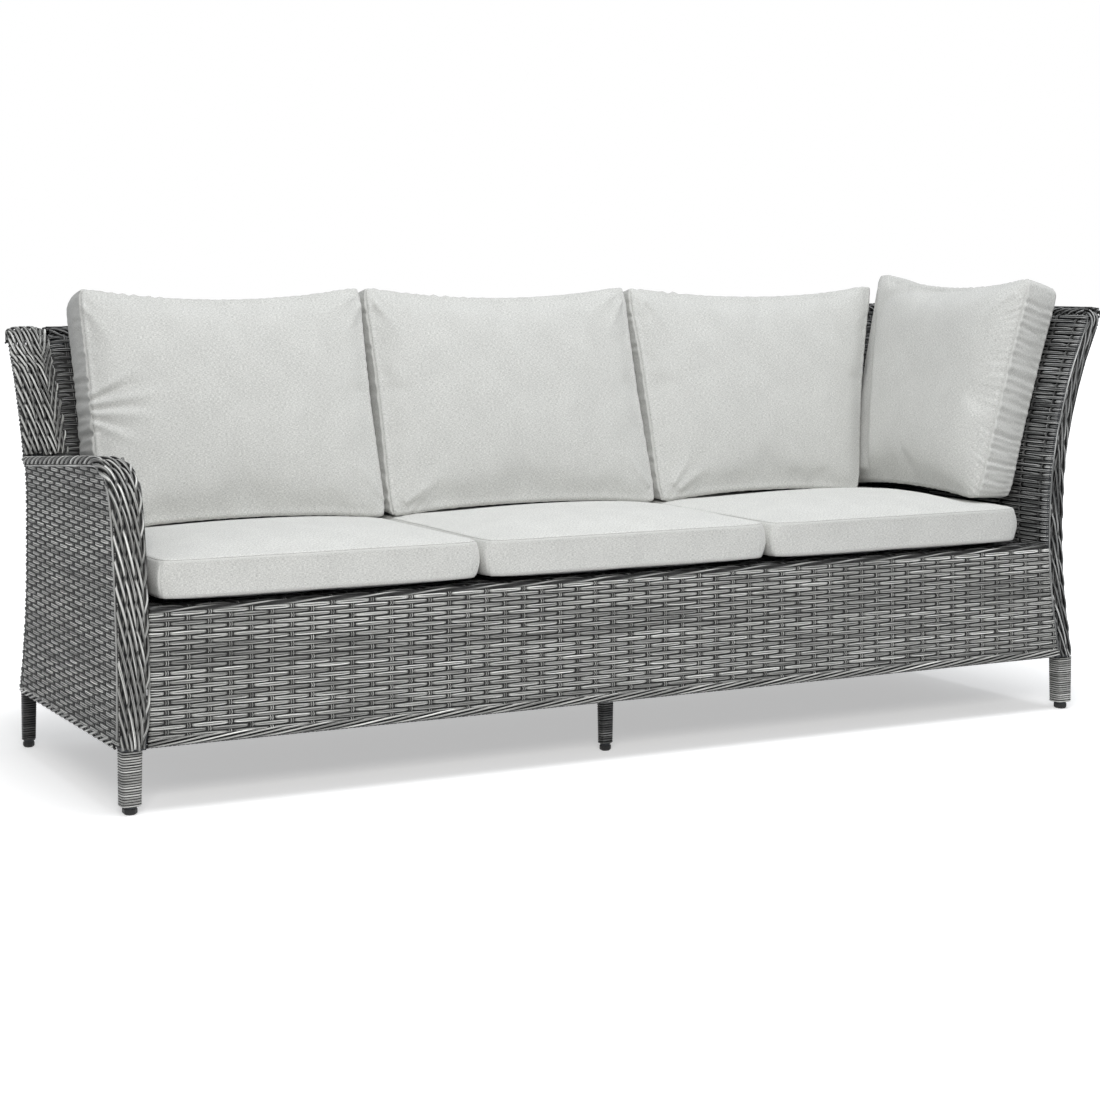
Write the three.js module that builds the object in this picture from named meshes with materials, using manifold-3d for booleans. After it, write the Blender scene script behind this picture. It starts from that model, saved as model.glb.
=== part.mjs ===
// A woven garden sofa: the arm end of a corner set. Looking at the front, a low arm stands on the left,
// and the backrest turns the corner on the right, where the side is as high as the back.
// Aluminium tubes carry woven skins of grey plastic strand, braided edges, wrapped legs and seven loose
// cushions. Millimetres, +X to the right along the seat, +Y to the back, +Z up. Pieces are laid out from
// the arm's outer face (x = 0), the front skin (y = 0) and the floor (z = 0), and the whole group is then
// moved so that the origin lies on the floor under the middle of the sofa.
import * as THREE from "three";
import { mergeVertices } from "three/addons/utils/BufferGeometryUtils.js";
import Module from "manifold-3d";

const wasm = await Module();
wasm.setup();

// Plan and heights of the woven body
const armWidth = 56;
const seatWidth = 1959; // between the arm and the right side, at the waist
const seatDepth = 578; // from the front skin to the back's face, at the waist
const wallThickness = 44; // of the back and of the right side, over both skins
const apronBottom = 120;
const postBottom = 112;
const deckHeight = 351;
const waistHeight = 375; // where the back and the side come furthest in
const shoulderHeight = 570; // the arm's top where it meets the back
const wingHeight = 242; // from there up to the roll over the back
const rollBottom = shoulderHeight + wingHeight;
const rollHeight = 39;
const topHeight = rollBottom + rollHeight;
const topFall = 36; // how much lower the back's top lies at the arm than at the corner

// How the back and the side lean out: from leanStart up, by leanOut at topHeight, and by skirtOut again
// where they end over the legs
const backLean = { leanStart: 500, leanOut: 168, powerShare: 1.5, skirtOut: 47 };
const sideLean = { leanStart: 378, leanOut: 117, powerShare: 2, skirtOut: 27 };

// The arm, seen from its side
const armTopHeight = 603;
const armCornerReach = 150; // from the front skin back to where the arm's top becomes straight
const bellyHeight = 190;
const bellyOut = 10;
const armSetback = 60; // how far the arm's front leans back over its height
const armCornerDrop = 98; // height that the rounded corner takes

// Thicknesses and the gaps between touching pieces
const skin = 5;
const braid = 6;
const gap = 0.3;
const deckThickness = 4;
const tubeSide = 25;
const tubeWall = 1.5;
const armTubeDepth = 32;
const armTubeInset = 7; // from the arm's faces, clear of the back's rounded end
const trimHeight = 5.7;
const trimBottom = apronBottom - gap - trimHeight;
const rollOverhang = 13;
const rollNose = 3; // how far the roll stands in front of the skin below it
const overrun = 20; // how far a cutting solid runs past what it cuts

// Legs, over their wrapping
const frontLegWidth = 31;
const frontLegDepth = 36;
const roundLegWidth = 28;
const legTaperShare = 0.85;
const legCornerShare = 0.586; // of the half width, which makes an equal-sided octagon of a square leg
const strandThickness = 2.6;
const strandHeight = 4.4;
const wrapLoops = 19;
const stepsPerLoop = 8;
const legWall = 1.8;
const glideHeight = 10;
const glideInset = 1.2;
const glideChamfer = 3;
const glidePlug = 16;
const wrapBottom = 12;
const legBottom = glideHeight + gap;
const legTop = postBottom - gap;
const frontLegSetback = 24; // from the front skin to the leg's middle
const rearLegInset = 15; // from the back's rear face, where it ends, to the leg's middle
const rearLegShift = 4; // the one beside the arm stands this much further out
const rightLegInset = 11;
const centreLegY = 100;
const centreLegShare = 0.485;
const bearerShares = [1 / 4, centreLegShare, 3 / 4];

// Cushions
const armClearance = 11; // between the arm and the first seat cushion
const sideClearance = 60; // between the last seat cushion and the side, where the corner cushion stands
const seatCushionFront = -2;
const cushionGap = 2;
const seatGusset = 74;
const seatCrown = 24;
const seatUnderside = 16;
const seatPull = 5;
const pressedShare = 0.42; // from the middle back, where the standing cushions press the seat flat
const backCushionLean = THREE.MathUtils.degToRad(17);
const backCushionHeight = 442;
const backGusset = 116;
const backCrown = 14;
const backUnderside = 3;
const backPull = 9;
const backDip = 24;
const armSqueeze = 28; // how much narrower the cushion beside the arm lies
const cornerSqueeze = 101; // how much narrower the corner's back cushion lies at its foot
const cornerFoot = 19; // how far the corner cushion's face reaches down to the seat
const sideCushionWidth = 500;
const sideCushionHeight = 465;
const sideCushionFront = 62;
const sideCushionLean = THREE.MathUtils.degToRad(17);
const looseGap = 1;
const cushionCells = 9;
const edgeShare = 0.4; // how much closer the cells lie towards a cushion's edges
const edgeSamples = 4;

// Places that follow from the sizes above
const sideInner = armWidth + seatWidth;
const sideOuter = sideInner + wallThickness;
const seatCushionStart = armWidth + armClearance;
const seatCushionEnd = sideInner - sideClearance;
const cornerX = sideOuter + sideLean.leanOut + rollOverhang; // the furthest point to the right
const collarHeight = rollBottom - topFall * 2; // above it the back and the side are straight
const backFace = seatDepth;
const boxDepth = skin + gap; // from a face to the tube behind its skin
const deckTop = deckHeight + gap;
const railTop = deckHeight - deckThickness;
const seatRail = [railTop - gap - tubeSide, railTop - gap];
const bottomRail = [apronBottom + gap, apronBottom + gap + tubeSide];
const skinTop = rollBottom - gap;
const topRail = [rollBottom, rollBottom + tubeSide];
const armTube = [armTubeInset, armWidth - armTubeInset];

// Heights at which every flared piece has a row of corners, so that neighbours stay parallel
const levels = [];
const levelBands = [
  [postBottom, waistHeight, 3],
  [waistHeight, shoulderHeight, 3],
  [shoulderHeight, collarHeight, 3],
];
for (const [from, to, steps] of levelBands) {
  for (let i = 0; i < steps; i++) levels.push(from + ((to - from) * i) / steps);
}
levels.push(collarHeight, topHeight);

// How far a wall leans out at a height: one curve up from leanStart and a parabola down from the waist
function flareCurve(z, lean) {
  const above = Math.max(z - lean.leanStart, 0) / (topHeight - lean.leanStart);
  const below = Math.max(waistHeight - z, 0) / (waistHeight - apronBottom);
  return lean.leanOut * above ** lean.powerShare + lean.skirtOut * below ** 2;
}

// The same, straight between the levels
function flare(z, lean) {
  let i = 0;
  while (i < levels.length - 2 && z > levels[i + 1]) i++;
  const share = (z - levels[i]) / (levels[i + 1] - levels[i]);
  return flareCurve(levels[i], lean) * (1 - share) + flareCurve(levels[i + 1], lean) * share;
}

// Every level between two heights, with both ends
function rows(from, to) {
  return [from, ...levels.filter((z) => z > from + gap && z < to - gap), to];
}

// The back's top falls towards the arm: what lies over the collar is lowered with its way from the corner
function settled(x, z) {
  return z > collarHeight ? z - topFall * (1 - x / cornerX) : z;
}

// A closed geometry from points and triangles, with its faces pointing out
function closedGeometry(points, triangles) {
  let volume = 0;
  for (const [a, b, c] of triangles) {
    const [p, q, r] = [points[a], points[b], points[c]];
    volume += p[0] * (q[1] * r[2] - q[2] * r[1]);
    volume += p[1] * (q[2] * r[0] - q[0] * r[2]);
    volume += p[2] * (q[0] * r[1] - q[1] * r[0]);
  }
  const ordered = volume < 0 ? triangles.map(([a, b, c]) => [a, c, b]) : triangles;
  const geometry = new THREE.BufferGeometry();
  geometry.setAttribute("position", new THREE.Float32BufferAttribute(points.flat(), 3));
  geometry.setIndex(ordered.flat());
  return geometry;
}

// Triangles over a flat ring, seen along the axis that it faces most
function capOf(ring) {
  const normal = new THREE.Vector3();
  ring.forEach((p, i) => {
    const q = ring[(i + 1) % ring.length];
    normal.add(new THREE.Vector3(...p).cross(new THREE.Vector3(...q)));
  });
  const size = normal.toArray().map(Math.abs);
  const facing = size.indexOf(Math.max(...size));
  const [a, b] = [0, 1, 2].filter((axis) => axis !== facing);
  const flat = ring.map((p) => new THREE.Vector2(p[a], p[b]));
  const turned = THREE.ShapeUtils.isClockWise(flat);
  const order = flat.map((p, i) => i);
  if (turned) order.reverse();
  const outline = order.map((i) => flat[i]);
  return THREE.ShapeUtils.triangulateShape(outline, []).map((t) => {
    const [p, q, r] = t.map((i) => order[i]);
    return turned ? [p, r, q] : [p, q, r];
  });
}

// A solid through rings of points, closed by a flat face at each end
function loft(rings) {
  const sides = rings[0].length;
  const triangles = [];
  for (let r = 0; r < rings.length - 1; r++) {
    for (let i = 0; i < sides; i++) {
      const a = r * sides + i;
      const b = r * sides + ((i + 1) % sides);
      triangles.push([a, b, b + sides], [a, b + sides, a + sides]);
    }
  }
  const last = (rings.length - 1) * sides;
  for (const [a, b, c] of capOf(rings[0])) triangles.push([a, c, b]);
  for (const [a, b, c] of capOf(rings.at(-1))) triangles.push([last + a, last + b, last + c]);
  return closedGeometry(rings.flat(), triangles);
}

function solidOf(geometry) {
  const bare = geometry.clone();
  bare.deleteAttribute("normal");
  bare.deleteAttribute("uv");
  const merged = mergeVertices(bare, 1e-4);
  return new wasm.Manifold(
    new wasm.Mesh({
      numProp: 3,
      vertProperties: new Float32Array(merged.attributes.position.array),
      triVerts: new Uint32Array(merged.index.array),
    }),
  );
}

function geometryOf(solid) {
  const mesh = solid.getMesh();
  const geometry = new THREE.BufferGeometry();
  geometry.setAttribute("position", new THREE.BufferAttribute(mesh.vertProperties, 3));
  geometry.setIndex(new THREE.BufferAttribute(mesh.triVerts, 1));
  return geometry;
}

function cut(geometry, tool) {
  return geometryOf(solidOf(geometry).subtract(solidOf(tool)));
}

const inset = ([low, high], by) => [low + by, high - by];

// The four corners of a rectangle at a height: xs and ys give its sides there, by draws them in
function rectangle(xs, ys, z, by = 0) {
  return [
    [0, 0],
    [1, 0],
    [1, 1],
    [0, 1],
  ].map(([i, k]) => {
    const height = settled(xs(z)[i], z);
    return [inset(xs(height), by)[i], inset(ys(height), by)[k], height];
  });
}

// A wall or post with a rectangle at each row
function upright(xs, ys, from, to) {
  return loft(rows(from, to).map((z) => rectangle(xs, ys, z)));
}

// A hollow post with open ends
function hollowPost(xs, ys, from, to) {
  return hollowLoft((by) => rows(from, to).map((z) => rectangle(xs, ys, z, by)));
}

// A tube through rings that by draws in, open at both ends
function hollowLoft(ringsAt) {
  const rings = ringsAt(tubeWall);
  const below = rings[0].map(([x, y, z]) => [x, y, z - overrun]);
  const above = rings.at(-1).map(([x, y, z]) => [x, y, z + overrun]);
  return cut(loft(ringsAt(0)), loft([below, ...rings, above]));
}

// A hollow rail between two ends that slope with the posts: start and end give its ends at a height
function hollowRail(axis, across, [z0, z1], start, end) {
  const ring = (along, by, push) =>
    [
      [0, 0],
      [1, 0],
      [1, 1],
      [0, 1],
    ].map(([i, k]) => {
      const z = k ? z1 - by : z0 + by;
      const side = inset(across(z), by)[i];
      const place = along(k ? z1 : z0) + push;
      return axis === "x" ? [place, side, z] : [side, place, z];
    });
  const body = loft([ring(start, 0, 0), ring(end, 0, 0)]);
  const bore = loft([ring(start, tubeWall, -overrun), ring(end, tubeWall, overrun)]);
  return cut(body, bore);
}

// A flat outline in y and z, given a thickness along x
function sidePlate(outline, [x0, x1]) {
  const shape = new THREE.Shape(outline.map(([y, z]) => new THREE.Vector2(y, z)));
  const geometry = new THREE.ExtrudeGeometry(shape, { depth: x1 - x0, bevelEnabled: false });
  const place = geometry.getAttribute("position");
  for (let i = 0; i < place.count; i++) {
    place.setXYZ(i, x0 + place.getZ(i), place.getX(i), place.getY(i));
  }
  return geometry;
}

// The arm's outline from the foot of its front, over the rounded corner, to the back, moved in by a depth
const armFrontSteps = 7;
const armCornerSteps = 6;
const armFront = (z) => -bellyOut + armSetback * ((z - bellyHeight) / (armTopHeight - bellyHeight)) ** 2;
const cornerStart = armTopHeight - armCornerDrop;

function armLine(depth, foot, rearY) {
  const line = [];
  for (let i = 0; i <= armFrontSteps; i++) {
    const z = foot + ((cornerStart - foot) * i) / armFrontSteps;
    line.push(new THREE.Vector2(armFront(z), z));
  }
  const steep = (2 * armSetback * (cornerStart - bellyHeight)) / (armTopHeight - bellyHeight) ** 2;
  const corner = new THREE.QuadraticBezierCurve(
    new THREE.Vector2(armFront(cornerStart), cornerStart),
    new THREE.Vector2(armFront(cornerStart) + steep * armCornerDrop, armTopHeight),
    new THREE.Vector2(armCornerReach, armTopHeight),
  );
  line.push(...corner.getPoints(armCornerSteps).slice(1));
  line.push(new THREE.Vector2(backFace + flare(shoulderHeight, backLean), shoulderHeight));
  const moved = line.map((point, i) => {
    const before = line[Math.max(i - 1, 0)];
    const after = line[Math.min(i + 1, line.length - 1)];
    const along = after.clone().sub(before).normalize();
    return [point.x + along.y * depth, point.y - along.x * depth];
  });
  moved[0] = [armFront(foot) + depth, foot];
  const [beforeEnd, end] = moved.slice(-2);
  const fall = (end[1] - beforeEnd[1]) / (end[0] - beforeEnd[0]);
  moved[moved.length - 1] = [rearY, beforeEnd[1] + fall * (rearY - beforeEnd[0])];
  return moved;
}

// Faces of the back and the side at a height, moved in from the skin's outer face
const backFront = (z, depth = 0) => backFace + flare(z, backLean) + depth;
const backBehind = (z, depth = 0) => backFront(z, wallThickness - depth);
const sideFront = (z, depth = 0) => sideInner + flare(z, sideLean) + depth;
const sideBehind = (z, depth = 0) => sideFront(z, wallThickness - depth);
const backTubes = (z) => [backFront(z, boxDepth), backBehind(z, boxDepth)];
const sideTubes = (z) => [sideFront(z, boxDepth), sideBehind(z, boxDepth)];
const frontTubes = [boxDepth, boxDepth + tubeSide];

// The back's rear corner beside the arm is a quarter round over the wall's whole thickness. This is its
// outline at a height, drawn in by a depth, from the arm's side to the back's rear face.
const roundSteps = 4;
function roundEnd(z, depth, start = 0) {
  const radius = wallThickness - depth;
  const places = [];
  for (let i = 0; i <= roundSteps; i++) {
    const angle = ((Math.PI / 2) * i) / roundSteps;
    places.push([wallThickness - radius * Math.cos(angle), radius * Math.sin(angle)]);
  }
  const share = start / places[1][1];
  places[0] = [0, 1].map((k) => places[0][k] * (1 - share) + places[1][k] * share);
  return places.map(([x, y]) => {
    const height = settled(x, z);
    return [x, backFront(height, y), height];
  });
}

// Places on the pieces along the top, at a depth from the wall's face. They meet in a mitre at the corner.
function backPlace(x, depth, z) {
  const height = settled(x, z);
  return [x, backFront(height, depth), height];
}

function sidePlace(y, depth, z) {
  const height = settled(sideFront(z, depth), z);
  return [sideFront(height, depth), y, height];
}

function mitrePlace(depth, z, [pushX, pushY]) {
  const height = settled(sideFront(z, depth) + pushX, z);
  return [sideFront(height, depth) + pushX, backFront(height, depth) + pushY, height];
}

// Finishes
const paint = new THREE.MeshStandardMaterial({ color: 0x34363a, roughness: 0.55, metalness: 0.6 });
const strand = new THREE.MeshStandardMaterial({ color: 0x8b8c8b, roughness: 0.5, metalness: 0 });
const darkStrand = new THREE.MeshStandardMaterial({ color: 0x5b5d60, roughness: 0.5, metalness: 0 });
const cloth = new THREE.MeshStandardMaterial({ color: 0xcfd0ca, roughness: 0.95, metalness: 0 });
const nylon = new THREE.MeshStandardMaterial({ color: 0x151515, roughness: 0.6, metalness: 0 });

function piece(group, name, geometry, material) {
  const mesh = new THREE.Mesh(geometry, material);
  mesh.name = name;
  group.add(mesh);
  return mesh;
}

// The tubes of the frame: each is welded at its ends to its neighbours
function buildFrame() {
  const frame = new THREE.Group();
  const add = (name, geometry) => piece(frame, name, geometry, paint);
  const hoopDepth = braid + gap;
  const postFace = (z) => backFront(z, boxDepth) - gap;

  const outer = armLine(hoopDepth, postBottom + gap, 0).slice(0, -1);
  const inner = armLine(hoopDepth + armTubeDepth, postBottom + gap, 0).slice(0, -1);
  const rearEnd = (line) => {
    const [y, z] = line.at(-1);
    const fall = (shoulderHeight - armTopHeight) / (backFront(shoulderHeight) - armCornerReach);
    const endZ = z + fall * (postFace(shoulderHeight) - y);
    return [postFace(endZ), endZ];
  };
  const hoopOutline = [...outer, rearEnd(outer), rearEnd(inner), ...inner.toReversed()];
  const wallOuter = armLine(hoopDepth + tubeWall, postBottom + gap, 0).slice(0, -1);
  const wallInner = armLine(hoopDepth + armTubeDepth - tubeWall, postBottom + gap, 0).slice(0, -1);
  const beyond = (line) => {
    const [y, z] = rearEnd(line);
    return [y + overrun, z];
  };
  const boreOutline = [
    [wallOuter[0][0], wallOuter[0][1] - overrun],
    ...wallOuter,
    beyond(wallOuter),
    beyond(wallInner),
    ...wallInner.toReversed(),
    [wallInner[0][0], wallInner[0][1] - overrun],
  ];
  const bore = sidePlate(boreOutline, inset(armTube, tubeWall));
  add("arm_hoop_tube", cut(sidePlate(hoopOutline, armTube), bore));

  const lowPost = postBottom + gap;
  const endRing = (z, by) => {
    const depth = boxDepth + by;
    const rightSide = armTube[1] - by;
    const height = settled(rightSide, z);
    return [
      [rightSide, backFront(height, depth), height],
      ...roundEnd(z, depth, depth),
      [rightSide, backBehind(height, depth), height],
    ];
  };
  add("rear_left_post", hollowLoft((by) => rows(lowPost, skinTop).map((z) => endRing(z, by))));
  add("rear_corner_post", hollowPost(sideTubes, backTubes, lowPost, skinTop));
  const frontPost = [gap, gap + tubeSide + skin];
  add("front_right_post", hollowPost(sideTubes, () => frontPost, lowPost, skinTop));

  const hoopSide = () => armTube[1] + gap;
  const sidePost = (z) => sideFront(z, boxDepth) - gap;
  add("front_seat_rail", hollowRail("x", () => frontTubes, seatRail, hoopSide, sidePost));
  add("front_bottom_rail", hollowRail("x", () => frontTubes, bottomRail, hoopSide, sidePost));
  add("rear_seat_rail", hollowRail("x", backTubes, seatRail, hoopSide, sidePost));
  add("rear_bottom_rail", hollowRail("x", backTubes, bottomRail, hoopSide, sidePost));

  const hoopRear = (z) => armFront(z) + hoopDepth + armTubeDepth + gap * 2;
  const leftRail = () => [armTube[0], armTube[0] + tubeSide];
  add("left_seat_rail", hollowRail("y", leftRail, seatRail, hoopRear, postFace));
  add("left_bottom_rail", hollowRail("y", leftRail, bottomRail, hoopRear, postFace));
  const frontPostRear = () => frontPost[1] + gap;
  add("right_seat_rail", hollowRail("y", sideTubes, seatRail, frontPostRear, postFace));
  add("right_bottom_rail", hollowRail("y", sideTubes, bottomRail, frontPostRear, postFace));

  bearerShares.forEach((share, i) => {
    const middle = armWidth + seatWidth * share;
    const width = () => [middle - tubeSide / 2, middle + tubeSide / 2];
    const front = () => frontTubes[1] + gap;
    add("seat_bearer_" + (i + 1), hollowRail("y", width, seatRail, front, postFace));
  });
  [1, 2].forEach((i) => {
    const middle = seatCushionStart + ((seatCushionEnd - seatCushionStart) * i) / 3;
    const width = () => [middle - tubeSide / 2, middle + tubeSide / 2];
    add("back_upright_" + i, hollowPost(width, backTubes, seatRail[1] + gap, skinTop));
  });
  const sideMiddle = () => [(backFace - tubeSide) / 2, (backFace + tubeSide) / 2];
  add("side_upright", hollowPost(sideTubes, sideMiddle, seatRail[1] + gap, skinTop));

  // The two top rails meet in a mitre over the corner post
  const railRing = (place, by) => {
    const [low, high] = inset(topRail, by);
    const [front, behind] = [boxDepth + by, wallThickness - boxDepth - by];
    return [place(front, low), place(behind, low), place(behind, high), place(front, high)];
  };
  const backEnds = (by, push) => [
    railRing((depth, z) => backPlace(wallThickness + gap - push, depth, z), by),
    railRing((depth, z) => mitrePlace(depth, z, [push - gap, 0]), by),
  ];
  add("back_top_rail", cut(loft(backEnds(0, 0)), loft(backEnds(tubeWall, overrun))));
  const sideEnds = (by, push) => [
    railRing((depth, z) => sidePlace(gap - push, depth, z), by),
    railRing((depth, z) => mitrePlace(depth, z, [0, push - gap]), by),
  ];
  add("side_top_rail", cut(loft(sideEnds(0, 0)), loft(sideEnds(tubeWall, overrun))));
  return frame;
}

// The woven skins, braided edges and the woven seat deck
function buildWeave() {
  const weave = new THREE.Group();
  const add = (name, geometry, material = strand) => piece(weave, name, geometry, material);

  const apronEnd = (z) => sideFront(z, skin);
  const apronX = (z) => [armWidth + gap, apronEnd(z)];
  add("front_apron_weave", upright(apronX, () => [0, skin], apronBottom, deckHeight - gap));

  // The arm's outer skin reaches back to the rounded corner
  const armInside = armLine(braid + gap, apronBottom, 0).slice(0, -1);
  const fall = (shoulderHeight - armTopHeight) / (backFront(shoulderHeight) - armCornerReach);
  const armTopAt = (y) => armInside.at(-1)[1] + fall * (y - armInside.at(-1)[0]);
  const armEnd = (depth) => armTopAt(backFront(shoulderHeight - braid, depth));
  const rearLine = (from, depth) => {
    const line = rows(from, armEnd(depth)).map((z) => [backFront(z, depth), z]);
    return line.toReversed();
  };
  add("arm_outer_weave", sidePlate([...armInside, ...rearLine(apronBottom, -gap)], [0, skin]));

  // The arm's inner skin stands on the deck
  const innerLine = armInside.filter(([, z]) => z > deckTop + gap);
  const innerFront = [armFront(deckTop) + braid + gap, deckTop];
  const innerOutline = [innerFront, ...innerLine, ...rearLine(deckTop, skin)];
  add("arm_inner_weave", sidePlate(innerOutline, [armWidth - skin, armWidth]));

  // The braided band over the arm's front and top, and the one up the end of the back
  const wingFace = (z) => backFront(z, -braid);
  const bandOuter = armLine(0, postBottom, wingFace(shoulderHeight) - gap);
  const bandInner = armLine(braid, postBottom, wingFace(shoulderHeight - braid) - gap);
  const band = [...bandOuter, ...bandInner.toReversed()];
  add("arm_braid", sidePlate(band, [0, armWidth]));
  const wingX = () => [0, armWidth];
  const wingY = (z) => [wingFace(z), backFront(z, -gap)];
  add("wing_braid", upright(wingX, wingY, armEnd(-braid) + gap, skinTop));

  // The back's rear skin turns round the corner beside the arm
  const rearRing = (z) => {
    const [outerHeight, innerHeight] = [0, skin].map((depth) => settled(sideBehind(z, depth), z));
    return [
      ...roundEnd(z, 0),
      [sideBehind(outerHeight), backBehind(outerHeight), outerHeight],
      [sideBehind(innerHeight, 0), backBehind(innerHeight, skin), innerHeight],
      ...roundEnd(z, skin).toReversed(),
    ];
  };
  add("back_outer_weave", loft(rows(apronBottom, skinTop).map(rearRing)));
  const backX = (z) => [armWidth + gap, sideFront(z, skin)];
  add("back_inner_weave", upright(backX, (z) => [backFront(z), backFront(z, skin)], deckTop, skinTop));
  const innerY = (z) => [gap, backFront(z) - gap];
  add("side_inner_weave", upright((z) => [sideFront(z), sideFront(z, skin)], innerY, deckTop, skinTop));
  const outerX = (z) => [sideBehind(z, skin), sideBehind(z)];
  const outerY = (z) => [gap, backBehind(z, skin) - gap];
  add("side_outer_weave", upright(outerX, outerY, apronBottom, skinTop));
  const bandX = (z) => [sideFront(z), sideBehind(z)];
  add("side_front_braid", upright(bandX, () => [-braid, -gap], postBottom, skinTop));

  // The rolls over the top edges are open below, where the top rails lie in them. Each point of a roll's
  // outline: its share of the wall's thickness, of the height, and of the nose (below zero) or the overhang
  const rollShares = [
    [0, 0, 0],
    [0, 0.42, -1],
    [0.02, 0.8, 0],
    [0.22, 1, 0],
    [0.72, 1, 0],
    [1, 0.82, 0.4],
    [1, 0.45, 1],
    [1, 0.12, 0.6],
    [1, 0, 0],
  ];
  const rollRing = (place, narrow = 1) =>
    rollShares.map(([across, up, beyond]) => {
      const out = beyond * (beyond < 0 ? rollNose : rollOverhang);
      return place((wallThickness * across + out) * narrow, rollBottom + rollHeight * up);
    });
  const channelRing = (place) => {
    const [foot, roof] = [rollBottom - overrun, topRail[1] + gap];
    const [front, behind] = [skin, wallThickness - skin];
    return [place(front, foot), place(front, roof), place(behind, roof), place(behind, foot)];
  };
  const endShares = [0.15, 0.45, 0.75, 1];
  const endAngles = endShares.map((share) => (share * Math.PI) / 2);
  const backRoll = [
    ...endAngles.map((angle) => {
      const x = wallThickness * (1 - Math.cos(angle));
      return rollRing((depth, z) => backPlace(x, depth, z), Math.sin(angle));
    }),
    rollRing((depth, z) => mitrePlace(depth, z, [-gap, 0])),
  ];
  const backChannel = [
    channelRing((depth, z) => backPlace(wallThickness, depth, z)),
    channelRing((depth, z) => mitrePlace(depth, z, [overrun, 0])),
  ];
  add("back_top_braid", cut(loft(backRoll), loft(backChannel)));
  const sideRoll = [
    rollRing((depth, z) => sidePlace(-braid, depth, z)),
    rollRing((depth, z) => mitrePlace(depth, z, [0, -gap])),
  ];
  const sideChannel = [
    channelRing((depth, z) => sidePlace(0, depth, z)),
    channelRing((depth, z) => mitrePlace(depth, z, [0, overrun])),
  ];
  add("side_top_braid", cut(loft(sideRoll), loft(sideChannel)));

  const deckX = (z) => [armWidth + gap, sideFront(z) - gap];
  const deckY = (z) => [skin + gap, backFront(z) - gap];
  add("seat_deck", upright(deckX, deckY, railTop, railTop + deckThickness), darkStrand);

  // Twisted edges under the bottom rails
  const trim = [trimBottom, trimBottom + trimHeight];
  const trimX = (z) => [armTube[1] + gap, sideFront(z, boxDepth) - gap];
  add("front_edge_trim", upright(trimX, () => [0, frontTubes[1]], ...trim));
  const rearTrim = (z) => [backFront(z, boxDepth), backBehind(z)];
  add("rear_edge_trim", upright(trimX, rearTrim, ...trim));
  const leftTrim = (z) => [armFront(z) + braid + armTubeDepth + gap * 3, backFront(z, skin)];
  add("left_edge_trim", upright(() => [0, armTube[0] + tubeSide], leftTrim, ...trim));
  const rightTrim = (z) => [frontTubes[1] + gap * 2, backFront(z, skin)];
  add("right_edge_trim", upright((z) => [sideFront(z, boxDepth), sideBehind(z)], rightTrim, ...trim));
  return weave;
}

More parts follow.
